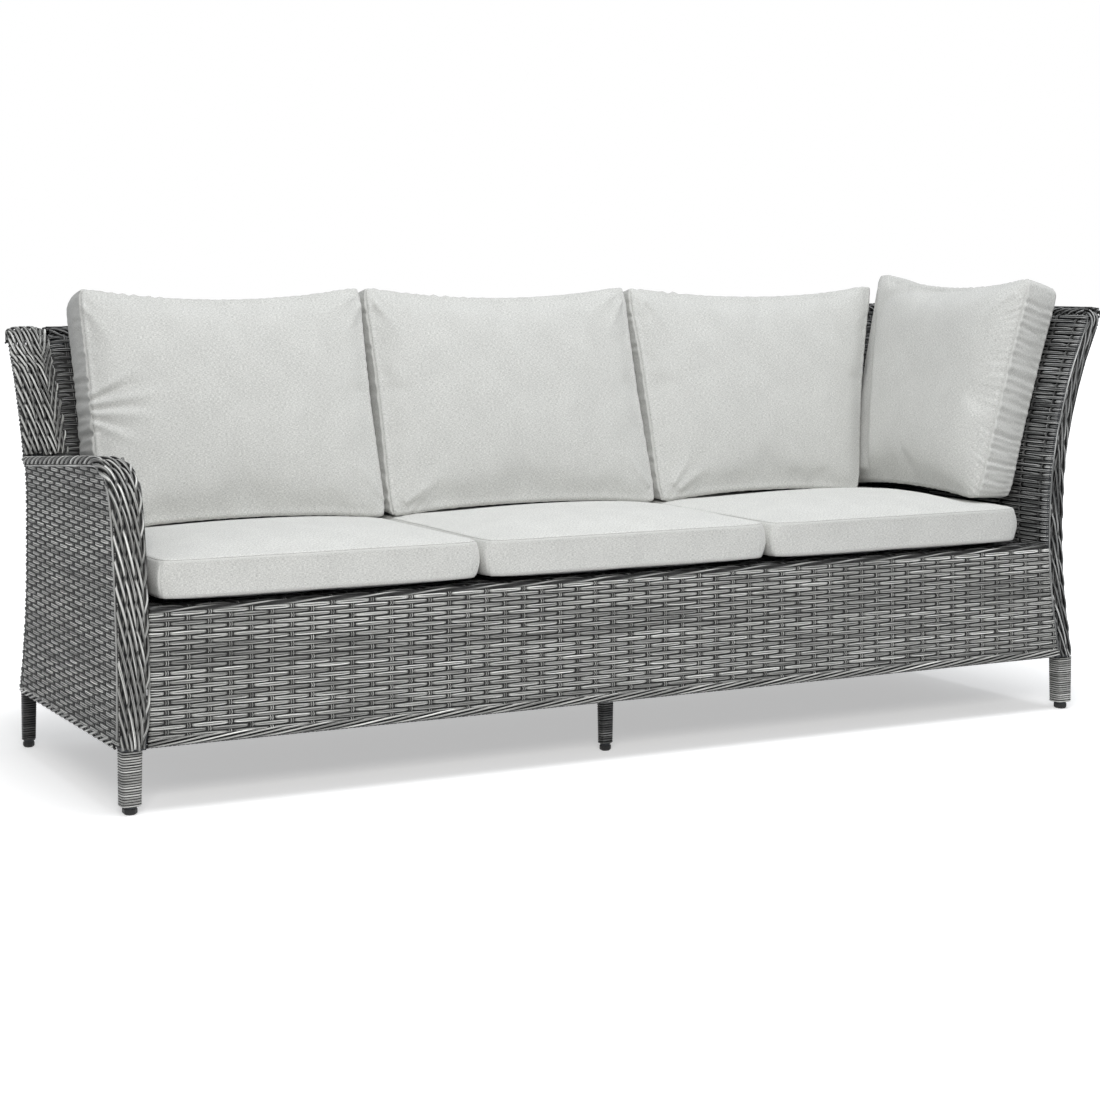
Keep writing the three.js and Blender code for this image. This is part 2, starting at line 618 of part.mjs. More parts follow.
// Five tapered legs: a hollow core, the strand wound round it and a foot pressed into its end
function buildLegs() {
  const legs = new THREE.Group();
  let leastTurnGap = Infinity;
  const taper = (z) => legTaperShare + (1 - legTaperShare) * Math.min(z / legTop, 1);

  // An eight-sided section
  function section(halfX, halfY, z) {
    const corner = Math.min(halfX, halfY) * legCornerShare;
    const cutX = halfX - corner;
    const cutY = halfY - corner;
    return [
      [halfX, -cutY],
      [halfX, cutY],
      [cutX, halfY],
      [-cutX, halfY],
      [-halfX, cutY],
      [-halfX, -cutY],
      [-cutX, -halfY],
      [cutX, -halfY],
    ].map(([x, y]) => [x, y, z]);
  }

  function leg(name, [x, y], [width, depth], top) {
    const group = new THREE.Group();
    group.position.set(x, y, 0);
    legs.add(group);
    const coreX = (z) => (width / 2) * taper(z) - strandThickness - gap;
    const coreY = (z) => (depth / 2) * taper(z) - strandThickness - gap;
    const ring = (z, by) => section(coreX(z) - by, coreY(z) - by, z);
    const heights = top > legTop ? [legBottom, legTop, top] : [legBottom, top];
    const core = loft(heights.map((z) => ring(z, 0)));
    const bore = loft([legBottom - overrun, ...heights, top + overrun].map((z) => ring(z, legWall)));
    piece(group, "leg_" + name, cut(core, bore), paint);

    // The winding: three-sided, its flat inner face on the core
    const pitch = (legTop - wrapBottom - strandHeight) / wrapLoops;
    const rings = [];
    for (let step = 0; step <= wrapLoops * stepsPerLoop; step++) {
      const z = wrapBottom + (pitch * step) / stepsPerLoop;
      const corner = step % stepsPerLoop;
      const at = (up, out) => section(coreX(z + up) + out, coreY(z + up) + out, z + up)[corner];
      const ridge = at(strandHeight / 2, gap + strandThickness);
      rings.push([at(0, gap), ridge, at(strandHeight, gap)]);
    }
    piece(group, "wrap_" + name, loft(rings), darkStrand);
    const turnGap = rings[stepsPerLoop][0][2] - rings[0][2][2];
    leastTurnGap = Math.min(leastTurnGap, turnGap);

    // The foot: a chamfered cap with a plug that goes up inside the core
    const capX = coreX(0) + strandThickness - glideInset;
    const capY = coreY(0) + strandThickness - glideInset;
    const plug = legWall + gap;
    const foot = [
      section(capX - glideChamfer, capY - glideChamfer, 0),
      section(capX, capY, glideChamfer),
      section(capX, capY, glideHeight),
      section(coreX(legBottom) - plug, coreY(legBottom) - plug, glideHeight),
      section(coreX(legBottom) - plug, coreY(legBottom) - plug, glideHeight + glidePlug),
    ];
    piece(group, "glide_" + name, loft(foot), nylon);
  }

  const front = [frontLegWidth, frontLegDepth];
  const round = [roundLegWidth, roundLegWidth];
  const centreX = armWidth + seatWidth * centreLegShare;
  const rightX = sideBehind(postBottom, rightLegInset);
  const rearY = backBehind(postBottom, rearLegInset);
  leg("front_left", [armWidth / 2, frontLegSetback], front, legTop);
  leg("front_right", [rightX, frontLegSetback], front, legTop);
  leg("rear_left", [armWidth / 2 - rearLegShift, rearY], round, legTop);
  leg("rear_right", [rightX, rearY], round, legTop);
  leg("centre", [centreX, centreLegY], round, seatRail[0] - gap);
  console.log("least gap between turns of a leg's winding, mm:", leastTurnGap.toFixed(2));
  return legs;
}

const proud = 1.012;

// A boxed cushion: a gusset between two crowned panels, its sides drawn in between the corners.
// It lies in x and y with its thickness along z, and its middle at the origin. Its right side slants out
// towards the top, and the foot of its front panel reaches lower than the rear one's.
function cushion({ width, height, gusset, crown, under, pull, dip, rest, pressed = 1, slant = 0, foot = 0 }) {
  const n = cushionCells;
  const spread = (i) => {
    const t = (2 * i) / n - 1;
    return t * (1 + edgeShare - edgeShare * t * t);
  };
  const bulge = (t) => 1 - Math.abs(t) ** 3;
  const plan = (u, v, forward) => {
    const dipped = v > 0 ? dip : rest;
    const slanted = (slant * (u + 1) * (v + 1)) / 4;
    const lowered = foot * forward * Math.min(v, 0) ** 2;
    const x = u * (width / 2 - pull * (1 - v * v)) + slanted;
    return [x, v * (height / 2 - dipped * (1 - u * u) * Math.abs(v)) - lowered];
  };
  const points = [];
  for (const side of [1, -1]) {
    for (let j = 0; j <= n; j++) {
      for (let i = 0; i <= n; i++) {
        const [u, v] = [spread(i), spread(j)];
        const shortened = Math.min((2 * (v + 1)) / (pressed + 1) - 1, 1);
        const full = bulge(u) * bulge(shortened);
        const rise = side > 0 ? crown * full : under * Math.min(full * 2, 1);
        points.push([...plan(u, v, (side + 1) / 2), side * (gusset / 2 + rise)]);
      }
    }
  }
  const grid = (side, i, j) => side * (n + 1) ** 2 + j * (n + 1) + i;
  const triangles = [];
  for (let j = 0; j < n; j++) {
    for (let i = 0; i < n; i++) {
      const top = [grid(0, i, j), grid(0, i + 1, j), grid(0, i + 1, j + 1), grid(0, i, j + 1)];
      const low = [grid(1, i, j), grid(1, i + 1, j), grid(1, i + 1, j + 1), grid(1, i, j + 1)];
      triangles.push([top[0], top[1], top[2]], [top[0], top[2], top[3]]);
      triangles.push([low[0], low[2], low[1]], [low[0], low[3], low[2]]);
    }
  }

  // Round the gusset, with a row of points halfway that stands a little proud
  const round = [];
  for (let i = 0; i < n; i++) round.push([i, 0]);
  for (let j = 0; j < n; j++) round.push([n, j]);
  for (let i = n; i > 0; i--) round.push([i, n]);
  for (let j = n; j > 0; j--) round.push([0, j]);
  const middle = points.length;
  for (const [i, j] of round) {
    const [x, y] = plan(spread(i), spread(j), 1 / 2);
    points.push([x * proud, y * (spread(j) < 0 && rest === 0 ? 1 : proud), 0]);
  }
  round.forEach(([i, j], k) => {
    const [ni, nj] = round[(k + 1) % round.length];
    const [a, b] = [middle + k, middle + ((k + 1) % round.length)];
    const [top, nextTop] = [grid(0, i, j), grid(0, ni, nj)];
    const [low, nextLow] = [grid(1, i, j), grid(1, ni, nj)];
    triangles.push([top, a, b], [top, b, nextTop], [a, low, nextLow], [a, nextLow, b]);
  });
  return closedGeometry(points, triangles);
}

// Seven loose cushions: three to sit on, three at the back and one in the corner
function buildCushions() {
  const cushions = new THREE.Group();
  const pitch = (seatCushionEnd - seatCushionStart) / 3;
  const names = ["left", "middle", "right"];
  const seatLow = deckHeight + gap + looseGap / 2;
  const seatMiddle = seatLow + seatUnderside + seatGusset / 2;
  const floor = seatMiddle + (seatGusset + looseGap) / 2;
  const seatLength = backFace - looseGap * 2 - seatCushionFront;
  names.forEach((name, i) => {
    const geometry = cushion({
      width: (pitch - cushionGap) / proud,
      height: seatLength / proud,
      gusset: seatGusset,
      crown: seatCrown,
      under: seatUnderside,
      pull: seatPull,
      dip: seatPull,
      rest: seatPull,
      pressed: pressedShare,
    });
    const mesh = piece(cushions, "seat_cushion_" + name, geometry, cloth);
    mesh.position.set(seatCushionStart + pitch * (i + 0.5), seatCushionFront + seatLength / 2, seatMiddle);
  });

  // Moves a standing cushion back until it all but touches the wall, and down until it meets the seat
  function rest(mesh, axis, wall, floor) {
    mesh.updateMatrixWorld(true);
    const place = mesh.geometry.getAttribute("position");
    const corners = [];
    for (let i = 0; i < place.count; i++) {
      corners.push(new THREE.Vector3().fromBufferAttribute(place, i).applyMatrix4(mesh.matrixWorld));
    }
    mesh.position.z += floor - Math.min(...corners.map((p) => p.z));
    const drop = mesh.position.z;
    let room = Infinity;
    const index = mesh.geometry.index.array;
    for (let i = 0; i < index.length; i++) {
      const next = i % 3 === 2 ? i - 2 : i + 1;
      for (let step = 0; step < edgeSamples; step++) {
        const p = corners[index[i]].clone().lerp(corners[index[next]], step / edgeSamples);
        const z = Math.max(p.z + drop, deckTop);
        const nose = z > skinTop ? rollNose : 0;
        if (z < topHeight) room = Math.min(room, wall(z) - nose - p[axis]);
      }
    }
    mesh.position[axis] += room - looseGap;
  }

  names.forEach((name, i) => {
    const squeeze = [armSqueeze, 0, cornerSqueeze][i];
    const width = (pitch - cushionGap - squeeze) / proud;
    const geometry = cushion({
      width,
      height: backCushionHeight,
      gusset: backGusset,
      crown: backCrown,
      under: backUnderside,
      pull: backPull,
      dip: backDip,
      rest: 0,
      slant: i === 2 ? backCushionHeight * Math.sin(sideCushionLean) : 0,
      foot: backGusset * Math.tan(backCushionLean),
    });
    const mesh = piece(cushions, "back_cushion_" + name, geometry, cloth);
    mesh.rotation.set(Math.PI / 2 - backCushionLean, 0, 0);
    const middle = seatCushionStart + pitch * (i + 0.5) + (i === 0 ? squeeze : -squeeze) / 2;
    mesh.position.set(middle, backFace, 0);
    rest(mesh, "y", backFront, floor);
  });

  const geometry = cushion({
    width: sideCushionWidth,
    height: sideCushionHeight,
    gusset: backGusset,
    crown: backCrown,
    under: backUnderside,
    pull: backPull,
    dip: backDip,
    rest: 0,
    foot: cornerFoot,
  });
  const mesh = piece(cushions, "corner_cushion", geometry, cloth);
  mesh.rotation.set(Math.PI / 2 - sideCushionLean, 0, -Math.PI / 2, "ZXY");
  mesh.position.set(sideInner, sideCushionFront + sideCushionWidth / 2, 0);
  rest(mesh, "x", sideFront, floor);
  return cushions;
}

const sofa = new THREE.Group();
sofa.name = "sofa";
sofa.add(buildFrame(), buildWeave(), buildLegs(), buildCushions());

// The origin goes to the floor under the middle of the sofa
sofa.updateMatrixWorld(true);
const middle = new THREE.Box3().setFromObject(sofa, true).getCenter(new THREE.Vector3());
sofa.position.set(-middle.x, -middle.y, 0);

export default sofa;
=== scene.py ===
import math

import bpy
import numpy as np
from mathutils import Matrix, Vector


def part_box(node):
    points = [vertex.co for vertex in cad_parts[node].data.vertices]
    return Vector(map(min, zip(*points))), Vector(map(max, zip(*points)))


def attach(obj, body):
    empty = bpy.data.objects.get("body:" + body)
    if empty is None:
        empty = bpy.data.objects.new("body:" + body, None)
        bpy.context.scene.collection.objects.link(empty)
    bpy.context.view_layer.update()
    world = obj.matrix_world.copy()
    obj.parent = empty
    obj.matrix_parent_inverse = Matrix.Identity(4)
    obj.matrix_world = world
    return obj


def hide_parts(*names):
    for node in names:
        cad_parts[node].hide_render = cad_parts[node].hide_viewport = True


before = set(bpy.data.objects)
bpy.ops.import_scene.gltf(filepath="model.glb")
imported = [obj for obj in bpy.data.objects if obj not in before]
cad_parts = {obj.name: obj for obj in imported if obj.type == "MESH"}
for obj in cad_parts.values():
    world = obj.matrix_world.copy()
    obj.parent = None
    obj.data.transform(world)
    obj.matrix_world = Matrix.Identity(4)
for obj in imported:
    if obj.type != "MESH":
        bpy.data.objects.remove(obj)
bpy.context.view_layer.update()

# The welded tube frame. It is square aluminium tube with a dark grey powder coat, and the strands hide
# nearly all of it: it shows between the turns on a leg and from below.
PAINT_COLOUR = (0.036, 0.039, 0.044, 1)


def fill_in(node, inputs):
    """Sets inputs of a shader node: another node's output is linked, and a value is put in."""
    for name, value in inputs.items():
        if isinstance(value, bpy.types.NodeSocket):
            node.id_data.links.new(value, node.inputs[name])
        else:
            node.inputs[name].default_value = value


def set_all(thing, **settings):
    for setting, value in settings.items():
        setattr(thing, setting, value)


def add(tree, kind, inputs=None, **settings):
    made = tree.nodes.new("ShaderNode" + kind)
    set_all(made, **settings)
    fill_in(made, inputs or {})
    return made


def new_material(name):
    material = bpy.data.materials.new(name)
    material.use_nodes = True
    return material, material.node_tree, material.node_tree.nodes["Principled BSDF"]


def noise(tree, vector, scale=1.0, detail=2.0, roughness=0.5, stretch=None):
    """Grain read at a vector, which stretch multiplies first."""
    if stretch:
        vector = add(tree, "Mapping", {"Vector": vector, "Scale": stretch}).outputs["Vector"]
    inputs = {"Vector": vector, "Scale": scale, "Detail": detail, "Roughness": roughness}
    return add(tree, "TexNoise", inputs).outputs["Fac"]


def ramp(tree, factor, *stops):
    """Colours or grey levels over a factor, from (place, colour) stops."""
    made = add(tree, "ValToRGB", {"Fac": factor})
    points = made.color_ramp.elements
    while len(points) < len(stops):
        points.new(0.5)
    for point, (place, colour) in zip(points, stops):
        point.position = place
        point.color = colour if isinstance(colour, tuple) else (colour, colour, colour, 1)
    return made.outputs["Color"]


def bump(tree, height, distance, strength=1.0):
    inputs = {"Height": height, "Distance": distance, "Strength": strength}
    return add(tree, "Bump", inputs).outputs["Normal"]


def grained_material(name, scale, detail, colour, roughness, relief=0.0, metallic=0.0):
    """A fine even grain all over. A list of two colours or roughnesses is what the grain goes between."""
    material, tree, shader = new_material(name)
    grain = noise(tree, add(tree, "TexCoord").outputs["Object"], scale, detail)

    def grained(value):
        return ramp(tree, grain, (0.3, value[0]), (0.7, value[1])) if isinstance(value, list) else value

    fill_in(shader, {"Base Color": grained(colour), "Roughness": grained(roughness), "Metallic": metallic})
    if relief:
        fill_in(shader, {"Normal": bump(tree, grain, relief)})
    return material


def finish_solid(node, material):
    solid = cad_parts[node]
    solid.data.materials.clear()
    solid.data.materials.append(material)


PAINT = grained_material("powder_coat", 900, 3, PAINT_COLOUR, [0.42, 0.6], 0.00015, 0.35)
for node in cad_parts:
    if any(word in node for word in ("tube", "post", "rail", "upright", "bearer", "leg_")):
        finish_solid(node, PAINT)

# The walls that the strands cover. Both the back and the side lean out above the seat and again a little
# below it, and the back's top falls towards the arm. Places are metres from the arm's outer face, the
# front skin and the floor.
ORIGIN = np.array([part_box("arm_outer_weave")[0].x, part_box("front_apron_weave")[0].y, 0.0])
ARM_WIDTH, WALL = 0.056, 0.044
SIDE_INNER, BACK_FACE, CORNER_X = 2.015, 0.578, 2.189
APRON_BOTTOM, DECK, WAIST, SHOULDER = 0.120, 0.351, 0.375, 0.570
SKIN_TOP, TOP = 0.812, 0.851
TOP_FALL, COLLAR = 0.036, 0.740
# where a wall starts to lean, how far out its top is, its curve, and how far out the skirt's foot is
BACK_LEAN = (0.500, 0.168, 1.5, 0.047)
SIDE_LEAN = (0.378, 0.117, 2.0, 0.027)


def lean(z, curve):
    """How far a wall leans out at a height: a curve up to the collar, straight above it."""
    start, out, power, skirt = curve
    at_collar = out * ((COLLAR - start) / (TOP - start)) ** power
    straight = at_collar + (out - at_collar) * (z - COLLAR) / (TOP - COLLAR)
    above = np.maximum(z - start, 0) / (TOP - start)
    below = np.maximum(WAIST - z, 0) / (WAIST - APRON_BOTTOM)
    return np.where(z > COLLAR, straight, out * above**power) + skirt * below**2


def back_y(z, depth=0.0):
    return BACK_FACE + lean(z, BACK_LEAN) + depth


def side_x(z, depth=0.0):
    return SIDE_INNER + lean(z, SIDE_LEAN) + depth


def settled(x, z):
    """The height of something on the back, which is lowered towards the arm."""
    share = np.clip((z - COLLAR) / (SKIN_TOP - COLLAR), 0, 1)
    return z - TOP_FALL * (1 - x / CORNER_X) * share


# The strand. It is extruded plastic, streaked light and dark along its length, about 4 mm wide. Every
# piece of weaving below is made of closed strands swept along their own paths.
STRAND_SEED = 7
chance = np.random.default_rng(STRAND_SEED)


def unit(v):
    return v / np.maximum(np.linalg.norm(v, axis=-1, keepdims=True), 1e-9)


def xyz(*parts):
    """Points from their coordinates, each of them one value or an array."""
    return np.stack(np.broadcast_arrays(*parts), axis=-1)


def run_along(line):
    """How far along a line each of its points lies."""
    steps = np.linalg.norm(np.diff(line, axis=-2), axis=-1)
    return np.concatenate([0 * steps[..., :1], np.cumsum(steps, axis=-1)], axis=-1)


def follow(line, s):
    """The two coordinates of a flat line at a distance along it."""
    run = run_along(line)
    return np.interp(s, run, line[:, 0]), np.interp(s, run, line[:, 1])


def put_in(name, data):
    made = bpy.data.objects.new(name, data)
    bpy.context.scene.collection.objects.link(made)
    return made


def mark_points(mesh, name, values):
    """Gives each point of a mesh a value, or a vector, to be read later."""
    one = values.ndim == 1
    data = mesh.attributes.new(name, "FLOAT" if one else "FLOAT_VECTOR", "POINT").data
    data.foreach_set("value" if one else "vector", values.astype(np.float32).ravel())


def strand_rings(paths, outward, half_width, half_depth, angle):
    """Rings of points round paths [strand, step, xyz]: flat side on the wall, outward away from it."""
    along = unit(np.gradient(paths, axis=1))
    across = unit(np.cross(along, outward))
    up = np.cross(across, along)
    wide = across[:, :, None, :] * (np.cos(angle)[:, None] * half_width[..., None, None])
    deep = up[:, :, None, :] * (np.sin(angle)[:, None] * half_depth[..., None, None])
    return paths[:, :, None, :] + wide + deep


def strand_object(name, bundles, material, body="woven_frame", replaces=(), sides=6):
    """One piece from bundles of (paths, outward, half width, half depth, how bare), every strand closed."""
    points, lays, tints, bared, quads, count = [], [], [], [], [], 0
    angle = 2 * np.pi * np.arange(sides) / sides
    for paths, outward, half_width, half_depth, bare in bundles:
        points.append(strand_rings(paths, outward, half_width, half_depth, angle).reshape(-1, 3))
        strands, steps = paths.shape[:2]
        own = chance.random(strands)
        run = run_along(paths) + own[:, None] * 40
        lays.append(xyz(run[:, :, None], np.cos(angle), np.sin(angle)).reshape(-1, 3))
        tints.append(np.repeat(own, steps * sides))
        # how bare each point is, which the strand material turns into painted shade
        bared.append(np.repeat(bare.reshape(-1), sides))
        index = count + np.arange(strands * steps * sides).reshape(strands, steps, sides)
        turned = np.roll(index, -1, axis=2)
        skin = np.stack([index[:, :-1], index[:, 1:], turned[:, 1:], turned[:, :-1]], axis=-1)
        quads.append(skin.reshape(-1, 4))
        for corners in ([0, 1, 2, 3], [0, 3, 4, 5])[: sides // 2 - 1]:
            quads.append(index[:, 0][:, corners])
            quads.append(index[:, -1][:, corners[::-1]])
        count += strands * steps * sides
    quads = np.concatenate(quads)
    mesh = bpy.data.meshes.new(name)
    mesh.vertices.add(count)
    mesh.vertices.foreach_set("co", (np.concatenate(points) + ORIGIN).astype(np.float32).ravel())
    mesh.loops.add(quads.size)
    mesh.loops.foreach_set("vertex_index", quads.astype(np.int32).ravel())
    mesh.polygons.add(len(quads))
    mesh.polygons.foreach_set("loop_start", np.arange(0, quads.size, 4, dtype=np.int32))
    mesh.polygons.foreach_set("use_smooth", np.ones(len(quads), bool))
    for attribute, values in (("lay", lays), ("tint", tints), ("bare", bared)):
        mark_points(mesh, attribute, np.concatenate(values))
    mesh.update(calc_edges=True)
    mesh.materials.append(material)
    made = put_in(name, mesh)
    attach(made, body)
    if replaces:
        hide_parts(*replaces)


def multiply(tree, first, second):
    inputs = {"Factor": 1.0, "A": first, "B": second}
    return add(tree, "Mix", inputs, data_type="RGBA", blend_type="MULTIPLY").outputs["Result"]


def strand_material(name, dark, middle, light, rounding):
    """Streaks run along the strand, and each strand is lighter or darker than the next. Painted shade
    darkens its sides and its sunk lengths; rounding grades that shade round the strand, up to a painted
    highlight on its outer face."""
    material, tree, shader = new_material(name)
    lay, tint, bare = (add(tree, "Attribute", attribute_name=read) for read in ("lay", "tint", "bare"))
    lay = lay.outputs["Vector"]
    height = add(tree, "SeparateXYZ", {0: lay}).outputs["Z"]
    streaks = noise(tree, lay, 1.0, 3, 0.55, (8, 1.7, 1.7))
    colour = ramp(tree, streaks, (0.34, dark), (0.5, middle), (0.66, light))
    own_shade = ramp(tree, tint.outputs["Fac"], (0.0, 0.60), (0.5, 0.97), (1.0, 1.32))
    painted_flank_shade = ramp(tree, height, *rounding)
    painted_recess_shade = ramp(tree, bare.outputs["Fac"], (0.0, 0.10), (0.7, 1.0))
    colour = multiply(tree, multiply(tree, colour, own_shade), multiply(tree, painted_flank_shade, painted_recess_shade))
    grain = noise(tree, lay, 1.0, 2, 0.5, (60, 7, 7))
    roughness = ramp(tree, grain, (0.3, 0.32), (0.7, 0.46))
    fill_in(shader, {"Base Color": colour, "Roughness": roughness, "Normal": bump(tree, grain, 0.0003)})
    return material


# the last stops are painted shade on the strand's sides, rising to a painted highlight on its outer face
STRAND = strand_material(
    "grey_strand", (0.07, 0.071, 0.069, 1), (0.46, 0.462, 0.442, 1), (1.0, 1.0, 0.97, 1),
    ((0.0, 0.03), (0.6, 0.30), (0.96, 1.15)),
)
# the same strand painted darker, as painted shade, for the parts of the weave that lie in shade
SHADED_STRAND = strand_material(
    "shaded_strand", (0.026, 0.027, 0.028, 1), (0.16, 0.164, 0.163, 1), (0.80, 0.803, 0.79, 1),
    ((0.0, 0.05), (0.5, 0.22), (0.97, 1.0)),
)
# painted shade: the solid walls behind the strands are painted near black for the shade inside the weave
SHADE_INSIDE = grained_material("weave_in_shade", 260, 3, [(0.010, 0.010, 0.010, 1), (0.030, 0.030, 0.029, 1)], 0.7)

STAKE_PITCH = 0.0383
STRAND_HALF = 0.0019
STAKE_DEPTH = 0.0014
OVER = 0.0028  # how far a row stands out where it goes over a stake, and in where it goes behind one
SUNK = 0.0015  # how deep the weave's middle lies behind the wall's face
WANDER = 0.0002
PAIR_APART = 0.205  # half the distance between a row's two strands, as a share of the row's height


def facing(wall, u, v, side):
    """Unit normals of a wall at its own coordinates u, along, and v, across from 0 to 1."""
    step_u, step_v = 0.002, 0.004
    du = wall(u + step_u, v) - wall(u - step_u, v)
    dv = wall(u, v + step_v) - wall(u, v - step_v)
    return unit(np.cross(du, dv)) * side


def row_end(place):
    """Where rows end, as a function of their height: a single place is made one too."""
    return place if callable(place) else lambda v: 0 * v + place


def plain_weave(wall, side, rows, start, end, step=0.0060, first=0.0, pitch=STAKE_PITCH, dive=0.0070,
                over=OVER, shade=1.0, tuck=0.0):
    """Rows of two strands that go over and behind upright stakes by turns: the rows' bundle, the stakes'.

    wall(u, v) is the wall's face, side 1 or -1 turns its normal outward, and start and end are where its
    rows begin and end along u. A row dives behind a stake within the length dive, and its ends are tucked
    behind the edge beside them."""
    start, end = row_end(start), row_end(end)
    row = np.repeat(np.arange(rows), 2)[:, None]
    upper = np.tile([-1.0, 1.0], rows)[:, None]
    begin, finish = start((row + 0.5) / rows), end((row + 0.5) / rows)
    steps = int(np.ceil(np.max(finish - begin) / step)) + 1
    u = begin + (finish - begin) * np.linspace(0, 1, steps)
    slip = 0.03 * pitch * np.sin(row * 2.4)
    away = np.abs(((u - first + slip) / pitch + row) % 2 - 1) * pitch
    free = np.clip(np.minimum(u - begin, finish - u) / 0.014, 0, 1)
    out = over * (1 - 2 * np.exp(-((away / dive) ** 2))) * (0.3 + 0.7 * free) - tuck * (1 - free) ** 2
    out = out + WANDER * np.sin(u * 31 + chance.random(row.shape) * 6)
    # the two strands of a row lie side by side, and close up where they go behind a stake
    apart = PAIR_APART * (1 - 0.5 * np.exp(-((away / (1.9 * dive)) ** 2)))
    sway = chance.normal(0, 0.02, row.shape) + 0.03 * np.sin(u * 17 + row * 1.7)
    v = (row + 0.5 + upper * apart + sway) / rows
    outward = facing(wall, u, v, side)
    paths = wall(u, v) + outward * (out - SUNK)[..., None]
    wide = STRAND_HALF * (1 + chance.normal(0, 0.05, row.shape)) + 0 * u
    # bare drops where a row goes behind a stake, and the strand material paints shade there
    bare = 1 - np.exp(-((away / (1.35 * dive)) ** 2))
    weft = (paths, outward, wide, 0 * u + STRAND_HALF, bare)

    lowest, highest = (np.min(begin) - first) / pitch, (np.max(finish) - first) / pitch
    numbers = np.arange(np.ceil(lowest), np.floor(highest) + 1)
    number = np.repeat(numbers, 2)[:, None]
    stake = first + number * pitch + np.tile([-1.05, 1.05], len(numbers))[:, None] * STRAND_HALF
    v = np.linspace(0, 1, 2 * rows + 1) + 0 * stake
    u = np.clip(stake, start(v) + 0.002, end(v) - 0.002) + 0.0005 * np.sin(v * 25 + number * 2.1)
    out = -1.15 * over * np.cos(np.pi * (v * rows - 0.5 + number))
    outward = facing(wall, u, v, side)
    paths = wall(u, v) + outward * (out - SUNK)[..., None]
    # the stakes take shade as their bareness, so a shade below 1 paints shade on them
    return weft, (paths, outward, 0 * u + STRAND_HALF, 0 * u + STAKE_DEPTH, 0 * u + shade)


def woven(name, solid, material, *wall, edging=(), sides=6, slot="strand", hide=False, **lay):
    """A woven wall's rows, with any edging, and its stakes. The solid wall behind them stays, painted near
    black as painted shade, as the shaded inside of the weave, unless it is hidden."""
    weft, warp = plain_weave(*wall, **lay)
    hidden = [solid] if hide else ()
    strand_object(name + "_rows", [weft, *edging], material, replaces=hidden, sides=sides)
    strand_object(name + "_stakes", [warp], material, sides=4)
    if not hide:
        finish_solid(solid, SHADE_INSIDE)


def rope(path, outward, across, deep, strands, pitch, half):
    """Strands twisted round a path: across and deep are the rope's half sizes on and off the wall."""
    run = run_along(path)
    along = unit(np.gradient(path, axis=0))
    side = unit(np.cross(along, outward))
    up = np.cross(side, along)
    turn = 2 * np.pi * (run / pitch + np.arange(strands)[:, None] / strands)
    c, s = np.cos(turn)[..., None], np.sin(turn)[..., None]
    size = np.full(turn.shape, half)
    # the fifth value, bare, paints shade on each strand where it turns in towards the wall
    return [(path + side * across * c + up * deep * s, unit(side * c / across + up * s / deep), size,
             size * 0.85, 0.45 + 0.55 * np.sin(turn))]


def straight_rope(start, end, outward, across, deep, strands, pitch, half, step=0.006):
    start, end = np.array(start), np.array(end)
    count = max(int(np.linalg.norm(end - start) / step), 2)
    path = start + (end - start) * np.linspace(0, 1, count)[:, None]
    return rope(path, outward, across, deep, strands, pitch, half)


def plait(place, side, length, width, crossing=0.29, half=0.0031, step=0.0058, turned=0.76, rim=0.06):
    """A flat plait along s, with w from 0 to 1 across it. A strand crosses it within the length crossing.

    One set of strands goes from edge to edge over three of the other set and under one, and so lies on top.
    The other set shows between as short lengths with painted shade on them, and lies on top past
    the share turned of the width.
    At an edge a strand turns down out of sight."""
    apart, deep, over = 0.0086, 0.0022, 0.0019
    spacing = apart / width * crossing
    first, last = -int(crossing * (1 + rim) / spacing), int((length + rim * crossing) / spacing) + 1
    steps = int(crossing * (1 + 2 * rim) / step) + 1
    numbers = np.arange(first, last)[:, None]
    bundles = []
    for lying in (True, False):
        s = numbers * spacing + np.linspace(-rim, 1 + rim, steps) * crossing
        w = (s - numbers * spacing) / crossing
        met = (2 * s - crossing) / spacing - numbers

        def level(index):
            gone = index - numbers if lying else numbers - index
            high = np.where(gone % 4 == 3, -1.0, 1.0)
            return high if lying else -high

        low = np.floor(met)
        part = met - low
        part = part * part * (3 - 2 * part)
        height = level(low) * (1 - part) + level(low + 1) * part
        w = 1 - w if lying else w
        w = w + 0.006 * np.sin(s * 37 + numbers * 1.3)
        past = np.clip((w - turned) / 0.10 + 0.5, 0, 1)
        lift = 0.0006 - 0.0030 * past if lying else -0.0020 + 0.0034 * past
        keep = np.clip(s, 0.0, length)
        edge = np.clip(np.minimum(w, 1 - w) / 0.08, -1, 1)
        outward = facing(lambda a, b: place(np.clip(a, 0.0, length), b), keep, w, side)
        paths = place(keep, w) + outward * (over * height + lift - 0.002 * (1 - edge))[..., None]
        shown = 1 - past if lying else past
        # bare paints shade on a strand where the other set covers it, where it dips and where it turns down
        bare = 0.14 + 0.44 * shown + 0.22 * shown * height
        for k, inside in enumerate((s >= 0) & (s <= length)):
            chosen = np.nonzero(inside)[0]
            if len(chosen) >= 4:
                take = np.s_[k : k + 1, chosen[0] : chosen[-1] + 1]
                size = np.full(bare[take].shape, half)
                bundles.append((paths[take], outward[take], size, size * deep / half, bare[take]))
    return bundles


def plaited(name, solid, material, *where, edging=(), **lay):
    strand_object(name, [*plait(*where, **lay), *edging], material, replaces=[solid])


# The front apron: a wall of paired strands woven over double stakes, with a rolled edge along its top, a
# long slanted border along its foot and a fine twist below it.
APRON_TOP = 0.350
SIDE_CORNER = 0.014  # the rounding of the side's front corner, which the rows inside run round
FRONTWARD = (0.0, -1.0, 0.0)


def apron_wall(u, v):
    return xyz(u, 0.0, APRON_BOTTOM + 0.006 + (APRON_TOP - APRON_BOTTOM - 0.010) * v)


def apron_end(v):
    return side_x(APRON_BOTTOM + (APRON_TOP - APRON_BOTTOM) * v) + SIDE_CORNER + 0.002


